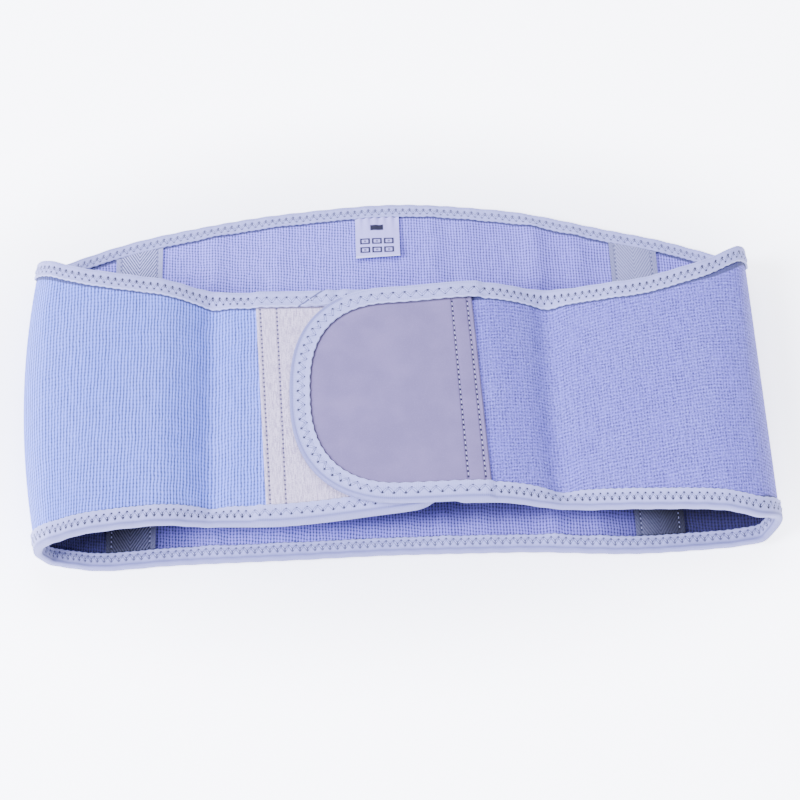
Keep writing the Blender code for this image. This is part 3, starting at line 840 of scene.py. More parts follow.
@dataclass(frozen=True)
class BindingFinish:
    """Elastic fold-over binding: u counts zigzag stitches, v is the reach in from the fold."""

    outer_rows: Pair
    inner_rows: Pair
    lap_edge: float
    lap_slant: float
    pad_end: float
    tab_start: float
    colour: Colour = (0.33, 0.33, 0.60)
    cloud_colour: Colour = (0.36, 0.37, 0.64)
    light: Colour = (0.50, 0.51, 0.78)
    shade: Colour = (0.11, 0.11, 0.26)
    hole: Colour = (0.040, 0.038, 0.056)
    raw_shadow_colour: Colour = (0.06, 0.06, 0.14)
    tint: Colour = (0.95, 0.96, 1.0)
    ribs_a_stitch: int = 6
    weft_pitch: float = 0.0008
    # Where the free edge's bead is painted lighter: partly the selvedge's own paler tone, partly a
    # painted highlight
    bead: Pair = (0.0107, 0.0112)
    # Where the rolled fold is painted with a highlight
    fold_highlight: Pair = (0.0012, 0.0004)
    # Where the crease by the fold gets painted shade
    crease: float = 0.0017
    crease_width: float = 0.0007
    # Where the low rim's fold gets painted shade
    under: Pair = (0.0034, 0.0014)
    raw_offset: float = 0.0012
    raw_line: Pair = (0.0013, 0.0004)
    inner_holes: float = 0.72
    long_ramp: float = 0.01
    long_stitch: float = 0.75
    far_hole: Pair = (0.30, 0.0015)
    near_hole: Pair = (0.18, 0.10)
    near_length: float = 0.0020
    relief: float = 0.00025

    def material(self) -> bpy.types.Material:
        """Return the binding's material."""
        g = Graph("binding")
        reach = g.do("ABSOLUTE", g.v)
        out = g.ease(g.v, -0.0001, 0.0001)
        inside = g.do("SUBTRACT", 1.0, out)
        s, high = g.split(g.add("ShaderNodeUVMap", uv_map=RIM_MAP).outputs["UV"])
        longer = g.do("MAXIMUM", g.ease(s, self.pad_end + self.long_ramp, self.pad_end),
                      g.ease(s, self.tab_start - self.long_ramp, self.tab_start))
        narrow = g.total((longer, self.long_stitch), (1.0, 1.0))
        holes: object = 0.0
        shadow: object = 0.0
        for rows, on_face, depth in ((self.outer_rows, out, 1.0),
                                     (self.inner_rows, inside, self.inner_holes)):
            found, beside = self.stitching(g, reach, rows, narrow)
            holes = g.do("MAXIMUM", holes, g.do("MULTIPLY", found, g.total((on_face, depth))))
            shadow = g.do("MAXIMUM", shadow, g.do("MULTIPLY", beside, on_face))
        rib = g.wave(g.u, 1 / self.ribs_a_stitch)
        weft = g.wave(g.v, self.weft_pitch)
        fine = g.noise(0.0007, 2.0, on_object=True)
        cloud = g.noise(0.012, 3.0, on_object=True)
        # Painted shade on the low rim's fold
        low_rim = g.do("MULTIPLY", g.ease(reach, *self.under), g.do("SUBTRACT", 1.0, high))
        crease = g.spot(g.do("SUBTRACT", reach, self.crease), 0.0, self.crease_width, 1.0)
        colour = g.mix(g.total((cloud, 0.3)), self.colour, self.cloud_colour)
        for share, other in (
                (g.total((g.do("MULTIPLY", rib, weft), 0.2)), self.light),
                # The bead painted lighter: partly its own paler tone, partly a painted highlight
                (g.total((g.ease(reach, *self.bead), 0.75)), self.light),
                # Painted highlight on the rolled fold
                (g.total((g.ease(reach, *self.fold_highlight), 0.15)), self.light),
                # Painted shade in the crease
                (g.total((crease, 0.2)), self.shade),
                (g.total((shadow, 0.62)), self.shade),
                (holes, self.hole),
                # Painted shade on the low rim's fold
                (g.total((low_rim, 0.62)), self.shade),
                # Painted shadow along the raw end's lapped edge
                (g.total((self.raw_end_shadow(g, reach, s, high, out), 0.85)), self.raw_shadow_colour)):
            colour = g.mix(share, colour, other)
        height = g.total((rib, 0.3), (weft, 0.25), (fine, 0.5), (shadow, -0.7), (holes, -1.2))
        return g.finish(colour, height, self.relief, 0.9, 0.12, self.tint)

    def raw_end_shadow(self, g: Graph, reach: Sockets, s: Sockets, high: Sockets, out: Sockets
                ) -> Sockets:
        """Draw the line of the strip's raw end, where it laps over its start.

        Args:
            g: the finish's node tree.
            reach: the distance in from the fold.
            s: the distance along the belt.
            high: 1 on the high rim.
            out: 1 on the outer face.

        Returns:
            The painted shadow line, from 0 to 1.
        """
        across = g.total((reach, -self.lap_slant), (s, 1.0))
        off = g.do("ABSOLUTE", g.do("SUBTRACT", across, self.lap_edge + self.raw_offset))
        return g.do("MULTIPLY", g.do("MULTIPLY", g.ease(off, *self.raw_line), high), out)

    def stitching(self, g: Graph, reach: Sockets, rows: Pair, narrow: Sockets
                  ) -> tuple[Sockets, Sockets]:
        """Return the needle holes of both rows and the shadow beside the zigzag thread.

        Args:
            g: the finish's node tree.
            reach: the distance in from the fold.
            rows: the reach of the two rows of holes.
            narrow: how many times narrower the holes are where the stitches are longer.

        Returns:
            The holes and the shadow, each from 0 to 1.
        """
        near_row, far_row = rows
        phase = g.near(g.u, 1.0)
        far_off = g.do("MULTIPLY", g.do("SUBTRACT", reach, far_row + 0.0002), narrow)
        far_hole = g.spot(g.do("MULTIPLY", phase, narrow), far_off, *self.far_hole)
        half = g.do("MULTIPLY", g.do("SUBTRACT", 0.5, phase), narrow)
        down = g.do("DIVIDE", g.do("SUBTRACT", reach, near_row), self.near_length)
        down = g.do("MULTIPLY", down, narrow)
        near_hole = g.ease(g.total((half, 1.0), (down, -0.16)), *self.near_hole)
        near_hole = g.do("MULTIPLY", near_hole, g.ease(down, -0.50, -0.25))
        near_hole = g.do("MULTIPLY", near_hole, g.ease(down, 1.25, 0.60))
        line = g.total((phase, 2 * (far_row - near_row)), (reach, 1.0))
        off = g.do("ABSOLUTE", g.do("SUBTRACT", line, far_row))
        beside = g.do("MULTIPLY", g.ease(off, 0.0014, 0.0008), g.ease(off, 0.0002, 0.0007))
        within = g.do("MULTIPLY", g.ease(reach, near_row - 0.0006, near_row),
                      g.ease(reach, far_row + 0.0006, far_row))
        return g.do("MAXIMUM", far_hole, near_hole), g.do("MULTIPLY", beside, within)


@dataclass(frozen=True)
class LabelFinish:
    """White satin label printed with plain marks: one short bar over two rows of three."""

    left: float
    top: float
    width: float
    length: float
    colour: Colour = (0.42, 0.375, 0.74)
    fold_colour: Colour = (0.40, 0.38, 0.58)
    hem_colour: Colour = (0.70, 0.69, 0.85)
    ink: Colour = (0.006, 0.006, 0.010)
    bar: tuple[Pair, Pair] = ((0.36, 0.18), (0.66, 0.32))
    mark_rows: Pair = (0.52, 0.74)
    mark_starts: tuple[float, ...] = (0.13, 0.40, 0.67)
    mark: tuple[Pair, Pair] = ((0.0, 0.0), (0.23, 0.15))
    window: tuple[Pair, Pair] = ((0.043, 0.034), (0.187, 0.116))
    dot: tuple[Pair, Pair] = ((0.085, 0.05), (0.145, 0.10))
    blur: float = 0.012
    hem: Pair = (0.955, 0.985)
    thread_size: float = 0.0005
    relief: float = 0.00012

    def material(self) -> bpy.types.Material:
        """Return the label's material."""
        g = Graph("label")
        across = g.do("DIVIDE", g.do("SUBTRACT", g.u, self.left), self.width)
        down = g.do("DIVIDE", g.do("SUBTRACT", self.top, g.v), self.length)
        ink = self.block(g, across, down, (0.0, 0.0), self.bar)
        for row in self.mark_rows:
            for start in self.mark_starts:
                mark, window, dot = (self.block(g, across, down, (start, row), part)
                                     for part in (self.mark, self.window, self.dot))
                frame_only = g.do("SUBTRACT", mark, g.total((window, 0.95)))
                ink = g.do("MAXIMUM", ink, g.do("MAXIMUM", frame_only, g.total((dot, 0.7))))
        satin = g.noise(self.thread_size, 2.0, 6.0)
        colour = g.mix(g.total((g.ease(satin, 0.6, 0.4), 0.2)), self.colour, self.fold_colour)
        colour = g.mix(g.total((g.ease(down, *self.hem), 0.6)), colour, self.hem_colour)
        colour = g.mix(g.total((ink, 0.97)), colour, self.ink)
        height = g.total((satin, 0.5), (g.wave(g.v, self.thread_size), 0.25), (ink, -0.2))
        return g.finish(colour, height, self.relief, 0.60, 0.04, (1.0, 1.0, 1.0))

    def block(self, g: Graph, across: Sockets, down: Sockets, place: Pair,
              corners: tuple[Pair, Pair]) -> Sockets:
        """Draw a rectangle.

        Args:
            g: the finish's node tree.
            across: the place across the label, as a share of its width.
            down: the place down the label, as a share of its length.
            place: the point that the corners are counted from.
            corners: the first and the last corner.

        Returns:
            1 inside the rectangle and 0 outside it.
        """
        result: object = 1.0
        for value, start, low, high in zip((across, down), place, *corners):
            first, last = start + low, start + high
            for edge, way in ((first, 1), (last, -1)):
                side = g.ease(value, edge - way * self.blur, edge + way * self.blur)
                result = g.do("MULTIPLY", result, side)
        return result


@dataclass(frozen=True)
class ThreadFinish:
    """Twisted sewing thread."""

    name: str
    colour: Colour
    shade: Colour = (0.30, 0.31, 0.52)

    def material(self) -> bpy.types.Material:
        """Return the thread's material."""
        g = Graph(self.name)
        twist = g.wave(g.total((g.u, 1.0), (g.v, 0.5)), 0.25)
        colour = g.mix(g.total((twist, 0.3)), self.colour, self.shade)
        return g.finish(colour, twist, 0.00005, 0.6, 0.2, (1.0, 1.0, 1.0))


def clear_choice() -> None:
    """Leave edit mode and deselect everything."""
    if bpy.context.object and bpy.context.object.mode != "OBJECT":
        bpy.ops.object.mode_set(mode="OBJECT")
    bpy.ops.object.select_all(action="DESELECT")


def edit_all(piece: bpy.types.Object, step: Callable[[], object]) -> None:
    """Take one step on all of a piece in edit mode, and leave it chosen."""
    clear_choice()
    piece.select_set(True)
    bpy.context.view_layer.objects.active = piece
    bpy.ops.object.mode_set(mode="EDIT")
    bpy.ops.mesh.select_all(action="SELECT")
    step()
    bpy.ops.object.mode_set(mode="OBJECT")


def flat_cloth(name: str, columns: int, rows: int) -> bpy.types.Object:
    """Cut a flat grid one unit square and extrude it to a closed sheet one unit thick."""
    clear_choice()
    bpy.ops.mesh.primitive_grid_add(x_subdivisions=columns, y_subdivisions=rows, size=1.0)
    cloth = bpy.context.object
    cloth.name = cloth.data.name = name
    edit_all(cloth, lambda: bpy.ops.mesh.extrude_region_move(
        TRANSFORM_OT_translate={"value": (0.0, 0.0, 1.0)}))
    return cloth


def points_of(piece: bpy.types.Object) -> np.ndarray:
    """Return a piece's points as rows."""
    spots = np.zeros(len(piece.data.vertices) * 3)
    piece.data.vertices.foreach_get("co", spots)
    return spots.reshape(-1, 3)


def move_points(piece: bpy.types.Object, spots: np.ndarray) -> None:
    """Put a piece's points in their places and turn its faces outwards."""
    piece.data.vertices.foreach_set("co", spots.ravel())
    piece.data.update()
    edit_all(piece, lambda: bpy.ops.mesh.normals_make_consistent(inside=False))
    bpy.ops.object.shade_smooth_by_angle(angle=SMOOTH_ANGLE)
    piece.select_set(False)


def map_cloth(piece: bpy.types.Object, u: np.ndarray, v: np.ndarray, name: str = CLOTH_MAP
              ) -> None:
    """Give a piece a flat map, from one pair of numbers a point."""
    mesh = piece.data
    if name == CLOTH_MAP:
        for old in list(mesh.uv_layers):
            mesh.uv_layers.remove(old)
    layer = mesh.uv_layers.new(name=name)
    corners = np.zeros(len(mesh.loops), np.int32)
    mesh.loops.foreach_get("vertex_index", corners)
    flat = np.column_stack([u[corners], v[corners]]).astype(np.float32)
    layer.data.foreach_set("uv", flat.ravel())


def paint_faces(piece: bpy.types.Object, materials: list[bpy.types.Material],
                inner: np.ndarray) -> None:
    """Give the faces whose points are all inner the second material, and the rest the first."""
    for material in materials:
        piece.data.materials.append(material)
    pick = [int(len(materials) > 1 and all(inner[v] for v in face.vertices))
            for face in piece.data.polygons]
    piece.data.polygons.foreach_set("material_index", pick)


@dataclass
class ClothSheet:
    """A flat piece of cloth: cut to an outline, thickened, wrapped round the path and dressed."""

    path: BeltPath
    name: str
    node: str
    slot: str
    rows: int
    thick: float
    thread: ClassVar[Colour] = (0.34, 0.34, 0.56)

    def columns(self) -> np.ndarray:
        """Return the distances along the belt where columns of faces stand."""
        raise NotImplementedError

    def seams(self) -> tuple[SeamLine, ...]:
        """Return the straight rows of stitches that hold the sheet."""
        return ()

    def spread(self, s: np.ndarray) -> tuple[np.ndarray, np.ndarray]:
        """Return the cut's low and high Y at s: the outline inside the binding's fold."""
        return self.path.outline(s, self.path.fold_inset)

    def base(self, s: np.ndarray, y: np.ndarray) -> np.ndarray:
        """Return n of the face nearer the band's middle."""
        raise NotImplementedError

    def materials(self) -> list[bpy.types.Material]:
        """Return the outer face's material, and the inner face's where it differs."""
        raise NotImplementedError

    def worn_edge(self, s: np.ndarray) -> np.ndarray:
        """Return the share of the full thickness at s, less along a cut edge."""
        return np.ones_like(s)

    def cut_edge(self) -> float | None:
        """Return the distance along the belt of the straight cut edge that leans, if any."""
        return None

    def build(self) -> bpy.types.Object:
        """Cut, wrap and dress the sheet, and return it."""
        columns = self.columns()
        cloth = flat_cloth(self.name, len(columns) - 1, self.rows)
        flat = points_of(cloth)
        s = np.interp(flat[:, 0] + 0.5, np.linspace(0.0, 1.0, len(columns)), columns)
        low, high = self.spread(s)
        y = low + (high - low) * (flat[:, 1] + 0.5)
        top = flat[:, 2] > 0.5
        n = self.base(s, y) + np.where(top, self.thick * self.worn_edge(s), 0.0)
        map_cloth(cloth, s, y)
        leaned = self.path.leaned(s, y, self.cut_edge())
        reach = self.path.reach_in(leaned, y)
        map_cloth(cloth, reach, np.zeros_like(reach), RIM_MAP)
        paint_faces(cloth, self.materials(), ~top)
        move_points(cloth, self.path.place(leaned, y, n))
        self.flat_length = float(columns[-1] - columns[0])
        widths = np.diff(np.array(self.spread(columns)), axis=0)[0]
        self.flat_width = float(widths.max())
        self.flat_area = float(np.sum((widths[1:] + widths[:-1]) / 2 * np.diff(columns)))
        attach(cloth, "root")
        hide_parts(self.node)
        return cloth


@dataclass
class ElasticBand(ClothSheet):
    """The knitted band, from the underlap's end to just under the tab's seam."""

    name: str = "band_knit"
    node: str = "elastic_band"
    slot: str = "knit"
    rows: int = 76
    thick: float = 0.0020
    step: float = 0.0021
    corner_count: int = 12

    def columns(self) -> np.ndarray:
        """Return the columns, with the two rounded corners of the underlap's end."""
        straight = self.path.columns(self.path.corner, self.path.band_end, self.step)
        return np.concatenate([self.path.corner_columns(self.corner_count), straight[1:]])

    def base(self, s: np.ndarray, y: np.ndarray) -> np.ndarray:
        """Return the inner face's n."""
        return np.full_like(s, -self.thick / 2)

    def materials(self) -> list[bpy.types.Material]:
        """Return the knit's two faces."""
        shade = InsideShade(self.path.turns())
        return [KnitFinish(Face.OUTER, self.path.outside_leg, shade).material(),
                KnitFinish(Face.INNER, self.path.inside_leg, shade).material()]


@dataclass
class LandingPad(ClothSheet):
    """The cream loop panel on the underlap's outer face."""

    name: str = "pad_pile"
    node: str = "landing_pad"
    slot: str = "loop_pile"
    rows: int = 80
    thick: float = 0.0012
    step: float = 0.0017
    corner_count: int = 10
    edge: float = 0.0006
    worn: float = 0.6
    thread: ClassVar[Colour] = (0.30, 0.26, 0.38)

    def seams(self) -> tuple[SeamLine, ...]:
        """Return the two sewn rows by the pad's left edge."""
        end = self.path.pad_length
        return tuple(SeamLine(end - off, 0.0030, end) for off in (0.0025, 0.0115))

    def columns(self) -> np.ndarray:
        """Return the columns, closer together at the cut edge."""
        end = self.path.pad_length
        straight = self.path.columns(self.path.corner, end - self.edge, self.step)
        return np.concatenate([self.path.corner_columns(self.corner_count), straight[1:],
                               [end - self.edge / 3, end]])

    def base(self, s: np.ndarray, y: np.ndarray) -> np.ndarray:
        """Return the face that lies on the band."""
        return np.full_like(s, self.path.band / 2 + self.path.clear)

    def worn_edge(self, s: np.ndarray) -> np.ndarray:
        """Thin the pile at the cut edge."""
        return 1 - self.worn * smooth_step(1 - (self.path.pad_length - s) / self.edge)

    def cut_edge(self) -> float:
        """Return the pad's straight edge."""
        return self.path.pad_length

    def materials(self) -> list[bpy.types.Material]:
        """Return the pile."""
        return [PileFinish(self.seams(), self.path.outside_leg).material()]


@dataclass
class ClosureTab(ClothSheet):
    """The laminated tab with the rounded end, which holds on the pad."""

    name: str = "tab_laminate"
    node: str = "closure_tab"
    slot: str = "laminate"
    rows: int = 80
    thick: float = 0.0016
    step: float = 0.0017
    tip_count: int = 40
    edge: float = 0.0008
    worn: float = 0.5
    droop: float = 0.00025
    droop_width: float = 0.0012
    thread: ClassVar[Colour] = (0.60, 0.58, 0.70)

    def seams(self) -> tuple[SeamLine, ...]:
        """Return the two sewn rows by the tab's right edge."""
        start = self.path.tab_start
        return tuple(SeamLine(start + off, edge=start) for off in (0.003, 0.012))

    def columns(self) -> np.ndarray:
        """Return the columns, closer together at the cut edge and as the tip closes."""
        path, inset = self.path, self.path.fold_inset
        reach, tip = path.tip_reach - inset, path.length - inset
        turn = np.radians(np.linspace(90, 4, self.tip_count))
        curved = tip - reach * (1 - np.cos(turn) ** (2 / path.tip_power))
        straight = path.columns(path.tab_start + self.edge, tip - reach, self.step)
        start = path.tab_start
        return np.concatenate([[start, start + self.edge / 3], straight, curved[1:]])

    def base(self, s: np.ndarray, y: np.ndarray) -> np.ndarray:
        """Return the hook side's n, pulled down a little along the two sewn rows."""
        pull = sum(hump(s, seam.at, self.droop_width) for seam in self.seams())
        return self.path.band / 2 + self.path.clear - self.droop * pull * (s < self.path.band_end)

    def worn_edge(self, s: np.ndarray) -> np.ndarray:
        """Thin the laminate at the cut edge."""
        return 1 - self.worn * smooth_step(1 - (s - self.path.tab_start) / self.edge)

    def cut_edge(self) -> float:
        """Return the tab's straight edge."""
        return self.path.tab_start

    def materials(self) -> list[bpy.types.Material]:
        """Return the laminate."""
        return [LaminateFinish(self.seams(), self.path.outside_leg).material()]


@dataclass
class BackSheet(ClothSheet):
    """A narrow piece on the inside of the back, placed by a share of half the belt's width."""

    share: float
    width: float

    @property
    def middle(self) -> float:
        """Return the piece's middle line as a distance along the belt."""
        return self.path.distance_of("back centre") + self.share * self.path.width / 2

    def spread(self, s: np.ndarray) -> tuple[np.ndarray, np.ndarray]:
        """Return the outline between the binding's inner legs."""
        return self.path.outline(s, self.path.inside_leg + 2 * self.path.clear)


@dataclass
class StayTape(BackSheet):
    """A twill tape sewn to the inside of the back over a stay, between the binding's legs."""

    name: str = "tape_left"
    node: str = "stay_channel_left"
    slot: str = "twill_tape"
    rows: int = 110
    thick: float = 0.0010
    share: float = -0.73
    width: float = 0.027
    seam_inset: float = 0.0030
    stitch: float = 0.0030
    step: float = 0.0018
    edge: float = 0.0007
    crown_height: float = 0.0006
    # The share of light painted on this tape; the right tape is painted darker, as in shade
    painted_light_share: float = 0.96
    bold: float = 1.1

    def seams(self) -> tuple[SeamLine, ...]:
        """Return the sewn row by each long edge."""
        off = self.width / 2 - self.seam_inset
        return tuple(SeamLine(at, self.stitch) for at in (self.middle - off, self.middle + off))

    def columns(self) -> np.ndarray:
        """Return the columns, closer together at the two long edges."""
        start, finish = self.middle - self.width / 2, self.middle + self.width / 2
        inside = self.path.columns(start + self.edge, finish - self.edge, self.step)
        return np.concatenate([[start, start + self.edge / 3], inside,
                               [finish - self.edge / 3, finish]])

    def crown(self, s: np.ndarray) -> np.ndarray:
        """Return how far the tape stands up over its stay at s."""
        off = np.abs(s - self.middle) / (self.width / 2)
        return self.crown_height * smooth_step(1.25 - off * 1.5)

    def base(self, s: np.ndarray, y: np.ndarray) -> np.ndarray:
        """Return the n of the face towards the waist, crowned a little over the stay."""
        return -self.path.band / 2 - self.path.clear - self.thick - self.crown(s)

    def worn_edge(self, s: np.ndarray) -> np.ndarray:
        """Keep the tape's outer face flat on the band while its middle is crowned."""
        return 1 + self.crown(s) / self.thick

    def materials(self) -> list[bpy.types.Material]:
        """Return the twill."""
        shade = InsideShade(self.path.turns())
        return [TwillFinish(self.middle, self.width, self.seams(), shade, self.painted_light_share,
                            self.bold).material()]


@dataclass
class SizeLabel(BackSheet):
    """The small label that hangs from the top binding inside the back, its free end lifted."""

    name: str = "label_satin"
    node: str = "size_label"
    slot: str = "label"
    rows: int = 48
    thick: float = 0.0004
    share: float = -0.046
    width: float = 0.026
    length: float = 0.031
    column_count: int = 41
    lift: float = 0.002
    gap: float = 0.0006
    pucker: float = 0.0006
    pucker_length: float = 0.0047
    bow: float = 0.0009

    def top(self, s: np.ndarray) -> np.ndarray:
        """Return Y of the label's sewn end, just under the binding's inner leg."""
        return super().spread(s)[1]

    def columns(self) -> np.ndarray:
        """Return the columns."""
        return np.linspace(self.middle - self.width / 2, self.middle + self.width / 2,
                           self.column_count)

    def spread(self, s: np.ndarray) -> tuple[np.ndarray, np.ndarray]:
        """Return the cut's lower and upper ends."""
        return self.top(s) - self.length, self.top(s)

    def base(self, s: np.ndarray, y: np.ndarray) -> np.ndarray:
        """Return the n of the printed face, puckered at the seam and lifted at the free end."""
        down = (self.top(s) - y) / self.length
        across = (s - self.middle) / self.width
        ripple = np.sin(2 * math.pi * (s - self.middle) / self.pucker_length)
        pucker = self.pucker * np.exp(-down * 7) * ripple
        curl = self.lift * down ** 2 * (1 + 0.35 * across + 0.5 * across ** 2)
        bow = self.bow * np.sin(math.pi * np.clip(down, 0, 1)) * (0.25 - across ** 2) * 2
        return (-self.path.band / 2 - self.path.clear - self.gap - self.thick - curl - bow
                + pucker)

    def materials(self) -> list[bpy.types.Material]:
        """Return the satin."""
        top = float(self.top(np.array([self.middle]))[0])
        return [LabelFinish(self.middle + self.width / 2, top, -self.width, self.length).material()]


@dataclass
class EdgeBinding:
    """One elastic strip folded over the belt's whole rim and sewn through with a zigzag."""

    path: BeltPath
    outer_rows: Pair = (0.0046, 0.0083)
    inner_rows: Pair = (0.0041, 0.0073)
    knit_pitch: float = 0.0041
    pad_pitch: float = 0.0057
    tab_pitch: float = 0.0066
    pitch_ramp: float = 0.01
    least_step: float = 1e-7
    steps_a_stitch: int = 4
    row_dip: float = 0.00036
    row_width: float = 0.0007
    dip_even: float = 0.55
    dip_beat: float = 0.45
    scallop: float = 0.00026
    scallop_start: float = 0.002
    scallop_ramp: float = 0.0015
    bead: float = 0.00022
    bead_inset: float = 0.0006
    bead_width: float = 0.0005
    ridge: float = 0.00018
    ridge_width: float = 0.0014
    crease: float = 0.00012
    crease_at: float = 0.0018
    crease_width: float = 0.0003
    lap_edge: float = 0.064
    lap_slant: float = 1.25
    lap_height: float = 0.0009
    lap_ramp: float = 0.0012
    lap_start: float = 0.040
    lap_fade: float = 0.012
    puff_length: float = 0.0016
    merge: float = 0.000002
    corner_points: int = 60
    end_points: int = 200
    straight_points: int = 3600
    tip_points: int = 500
    tip_end_points: int = 60
    high_way: float = -0.9

    def rim(self, side: Side) -> np.ndarray:
        """Return one rim from the middle of the underlap's end to the tab's tip.

        Args:
            side: the low or the high rim.

        Returns:
            Rows of s, y and the direction in from the rim along s and y.
        """
        path, pick = self.path, 0 if side is Side.LOW else 1
        sign = side.value
        turn = np.radians(np.linspace(0, 90, self.corner_points))
        corner_s = path.corner * (1 - np.cos(turn))
        corner_y = path.rims(corner_s)[pick] - sign * path.corner * (1 - np.sin(turn))
        ends = path.rims(np.zeros(1))
        middle = (ends[0][0] + ends[1][0]) / 2
        end_y = np.linspace(middle, corner_y[0], self.end_points)[:-1]
        straight = np.linspace(path.corner, path.length - path.tip_reach,
                               self.straight_points)[1:]
        tip = np.radians(np.concatenate([np.linspace(90, 3, self.tip_points)[1:],
                                         np.geomspace(3, 0.02, self.tip_end_points)[1:]]))
        bend, swing = np.cos(tip), np.sin(tip)
        power = path.tip_power
        tip_s = path.length - path.tip_reach * (1 - bend ** (2 / power))
        tip_low, tip_high = path.rims(tip_s)
        half = (tip_high - tip_low) / 2
        tip_y = (tip_low + tip_high) / 2 + sign * half * swing ** (2 / power)
        flatness = 2 * (power - 1) / power
        tip_in = np.column_stack([-bend ** flatness / path.tip_reach,
                                  -sign * swing ** flatness / half])
        tip_in /= np.linalg.norm(tip_in, axis=1)[:, None]
        blank = np.zeros_like
        return np.concatenate([
            np.column_stack([blank(end_y), end_y, np.ones_like(end_y), blank(end_y)]),
            np.column_stack([corner_s, corner_y, np.cos(turn), -sign * np.sin(turn)]),
            np.column_stack([straight, path.rims(straight)[pick], blank(straight),
                             np.full_like(straight, -sign)]),
            np.column_stack([tip_s, tip_y, tip_in]),
        ])

    def lay_out(self) -> None:
        """Join the two rims to one loop and count its stitches."""
        low, high = self.rim(Side.LOW), self.rim(Side.HIGH)
        loop = np.concatenate([low, high[::-1]])
        steps = np.hypot(*np.diff(loop[:, :2], axis=0).T)
        loop = loop[np.concatenate([[True], steps > self.least_step])]
        steps = np.hypot(*np.diff(loop[:, :2], axis=0).T)
        self.loop_length = float(steps.sum())
        middle = (loop[1:, 0] + loop[:-1, 0]) / 2
        ramp = self.pitch_ramp
        on_pad = smooth_step((self.path.pad_length + ramp - middle) / ramp)
        on_tab = smooth_step((middle - self.path.tab_start + ramp) / ramp)
        pitch = self.knit_pitch + on_pad * (self.pad_pitch - self.knit_pitch)
        pitch += on_tab * (self.tab_pitch - self.knit_pitch)
        count = np.concatenate([[0.0], np.cumsum(steps / pitch)])
        self.stitches = int(round(count[-1]))
        self.count = count * self.stitches / count[-1]
        self.loop = loop

    def rim_at(self, count: np.ndarray) -> np.ndarray:
        """Return the loop's rows at stitch counts."""
        count = np.mod(count, self.stitches)
        rows = np.column_stack([np.interp(count, self.count, column) for column in self.loop.T])
        rows[:, 2:] /= np.linalg.norm(rows[:, 2:], axis=1)[:, None]
        return rows

    def top(self, count: np.ndarray, reach: np.ndarray, face: Face) -> np.ndarray:
        """Return how far a leg's face stands from its channel wall, dipped along the stitches."""
        near_row, far_row = self.outer_rows if face is Face.OUTER else self.inner_rows
        leg = self.path.outside_leg if face is Face.OUTER else self.path.inside_leg
        beat = np.cos(2 * math.pi * count)
        height = np.full_like(reach, self.path.ply)
        for row, swing in ((far_row, self.dip_beat), (near_row, -self.dip_beat)):
            dip = self.row_dip * hump(reach, row, self.row_width)
            height -= dip * (self.dip_even + swing * beat)
        height += self.bead * hump(reach, leg - self.bead_inset, self.bead_width)
        height += self.ridge * hump(reach, (near_row + far_row) / 2, self.ridge_width)
        height -= self.crease * hump(reach, self.crease_at, self.crease_width)
        if face is Face.OUTER:
            height += self.lap(count, reach)
        return height

    def lap(self, count: np.ndarray, reach: np.ndarray) -> np.ndarray:
        """Return the step where the strip's raw end laps over its start, on the high rim."""
        s = self.rim_at(count)[:, 0]
        edge = self.lap_edge + self.lap_slant * reach
        step = smooth_step((edge - s) / self.lap_ramp)
        step = step * smooth_step((s - self.lap_start) / self.lap_fade)
        puff = 1 + 0.5 * np.sin(s / self.puff_length)
        return self.lap_height * step * puff * self.on_high_rim(count)

    def on_high_rim(self, count: np.ndarray) -> np.ndarray:
        """Return 1 where the strip runs along the high rim and 0 elsewhere."""
        return (self.rim_at(count)[:, 3] < self.high_way).astype(float)

    def corners(self) -> list[tuple[float, float, float]]:
        """Return the folded section: reach, wall (1 outer, 0 inner) and share of the ply."""
        out, inside, ply = self.path.outside_leg, self.path.inside_leg, self.path.ply
        near_out, far_out = self.outer_rows
        near_in, far_in = self.inner_rows
        outer_leg = (out - 0.0003, out - 0.0007, out - 0.0013, far_out + 0.0005, far_out,
                     far_out - 0.0006, 0.0069, 0.0061, near_out + 0.0006, near_out,
                     near_out - 0.0006, 0.0032, 0.0026, 0.0021, 0.0018, 0.0015, 0.0011)
        inner_leg = (0.0011, 0.0015, 0.0018, 0.0021, 0.0028, near_in - 0.0006, near_in,
                     near_in + 0.0006, 0.0057, far_in - 0.0006, far_in, far_in + 0.0006,
                     inside - 0.0007, inside - 0.0003)
        return [(out, 1.0, 0.3), (out, 1.0, 0.75), *((reach, 1.0, 1.0) for reach in outer_leg),
                (0.0006, 1.0, 0.80), (0.0002, 1.0, 0.35), (0.0, 0.5, 0.0), (0.0002, 0.0, 0.35),
                (0.0006, 0.0, 0.80), *((reach, 0.0, 1.0) for reach in inner_leg),
                (inside, 0.0, 0.75), (inside, 0.0, 0.3), (inside - 0.0003, 0.0, 0.0),
                (ply, 0.0, 0.0), (ply, 1.0, 0.0), (out - 0.0003, 1.0, 0.0)]

    def spot(self, count: np.ndarray, reach: np.ndarray, wall: np.ndarray, lift: np.ndarray
             ) -> np.ndarray:
        """Wrap points of the strip.

        Args:
            count: how many stitches along the strip.
            reach: how far in from the rim.
            wall: 1 for the outer channel wall, 0 for the inner.
            lift: the height out from that wall.

        Returns:
            Rows of X, Y and Z.
        """
        rim = self.rim_at(count)
        s, y = (rim[:, :2] + rim[:, 2:] * reach[:, None]).T
        inner, outer = self.path.channel(s)
        return self.path.place(s, y, inner + (outer - inner) * wall + lift)

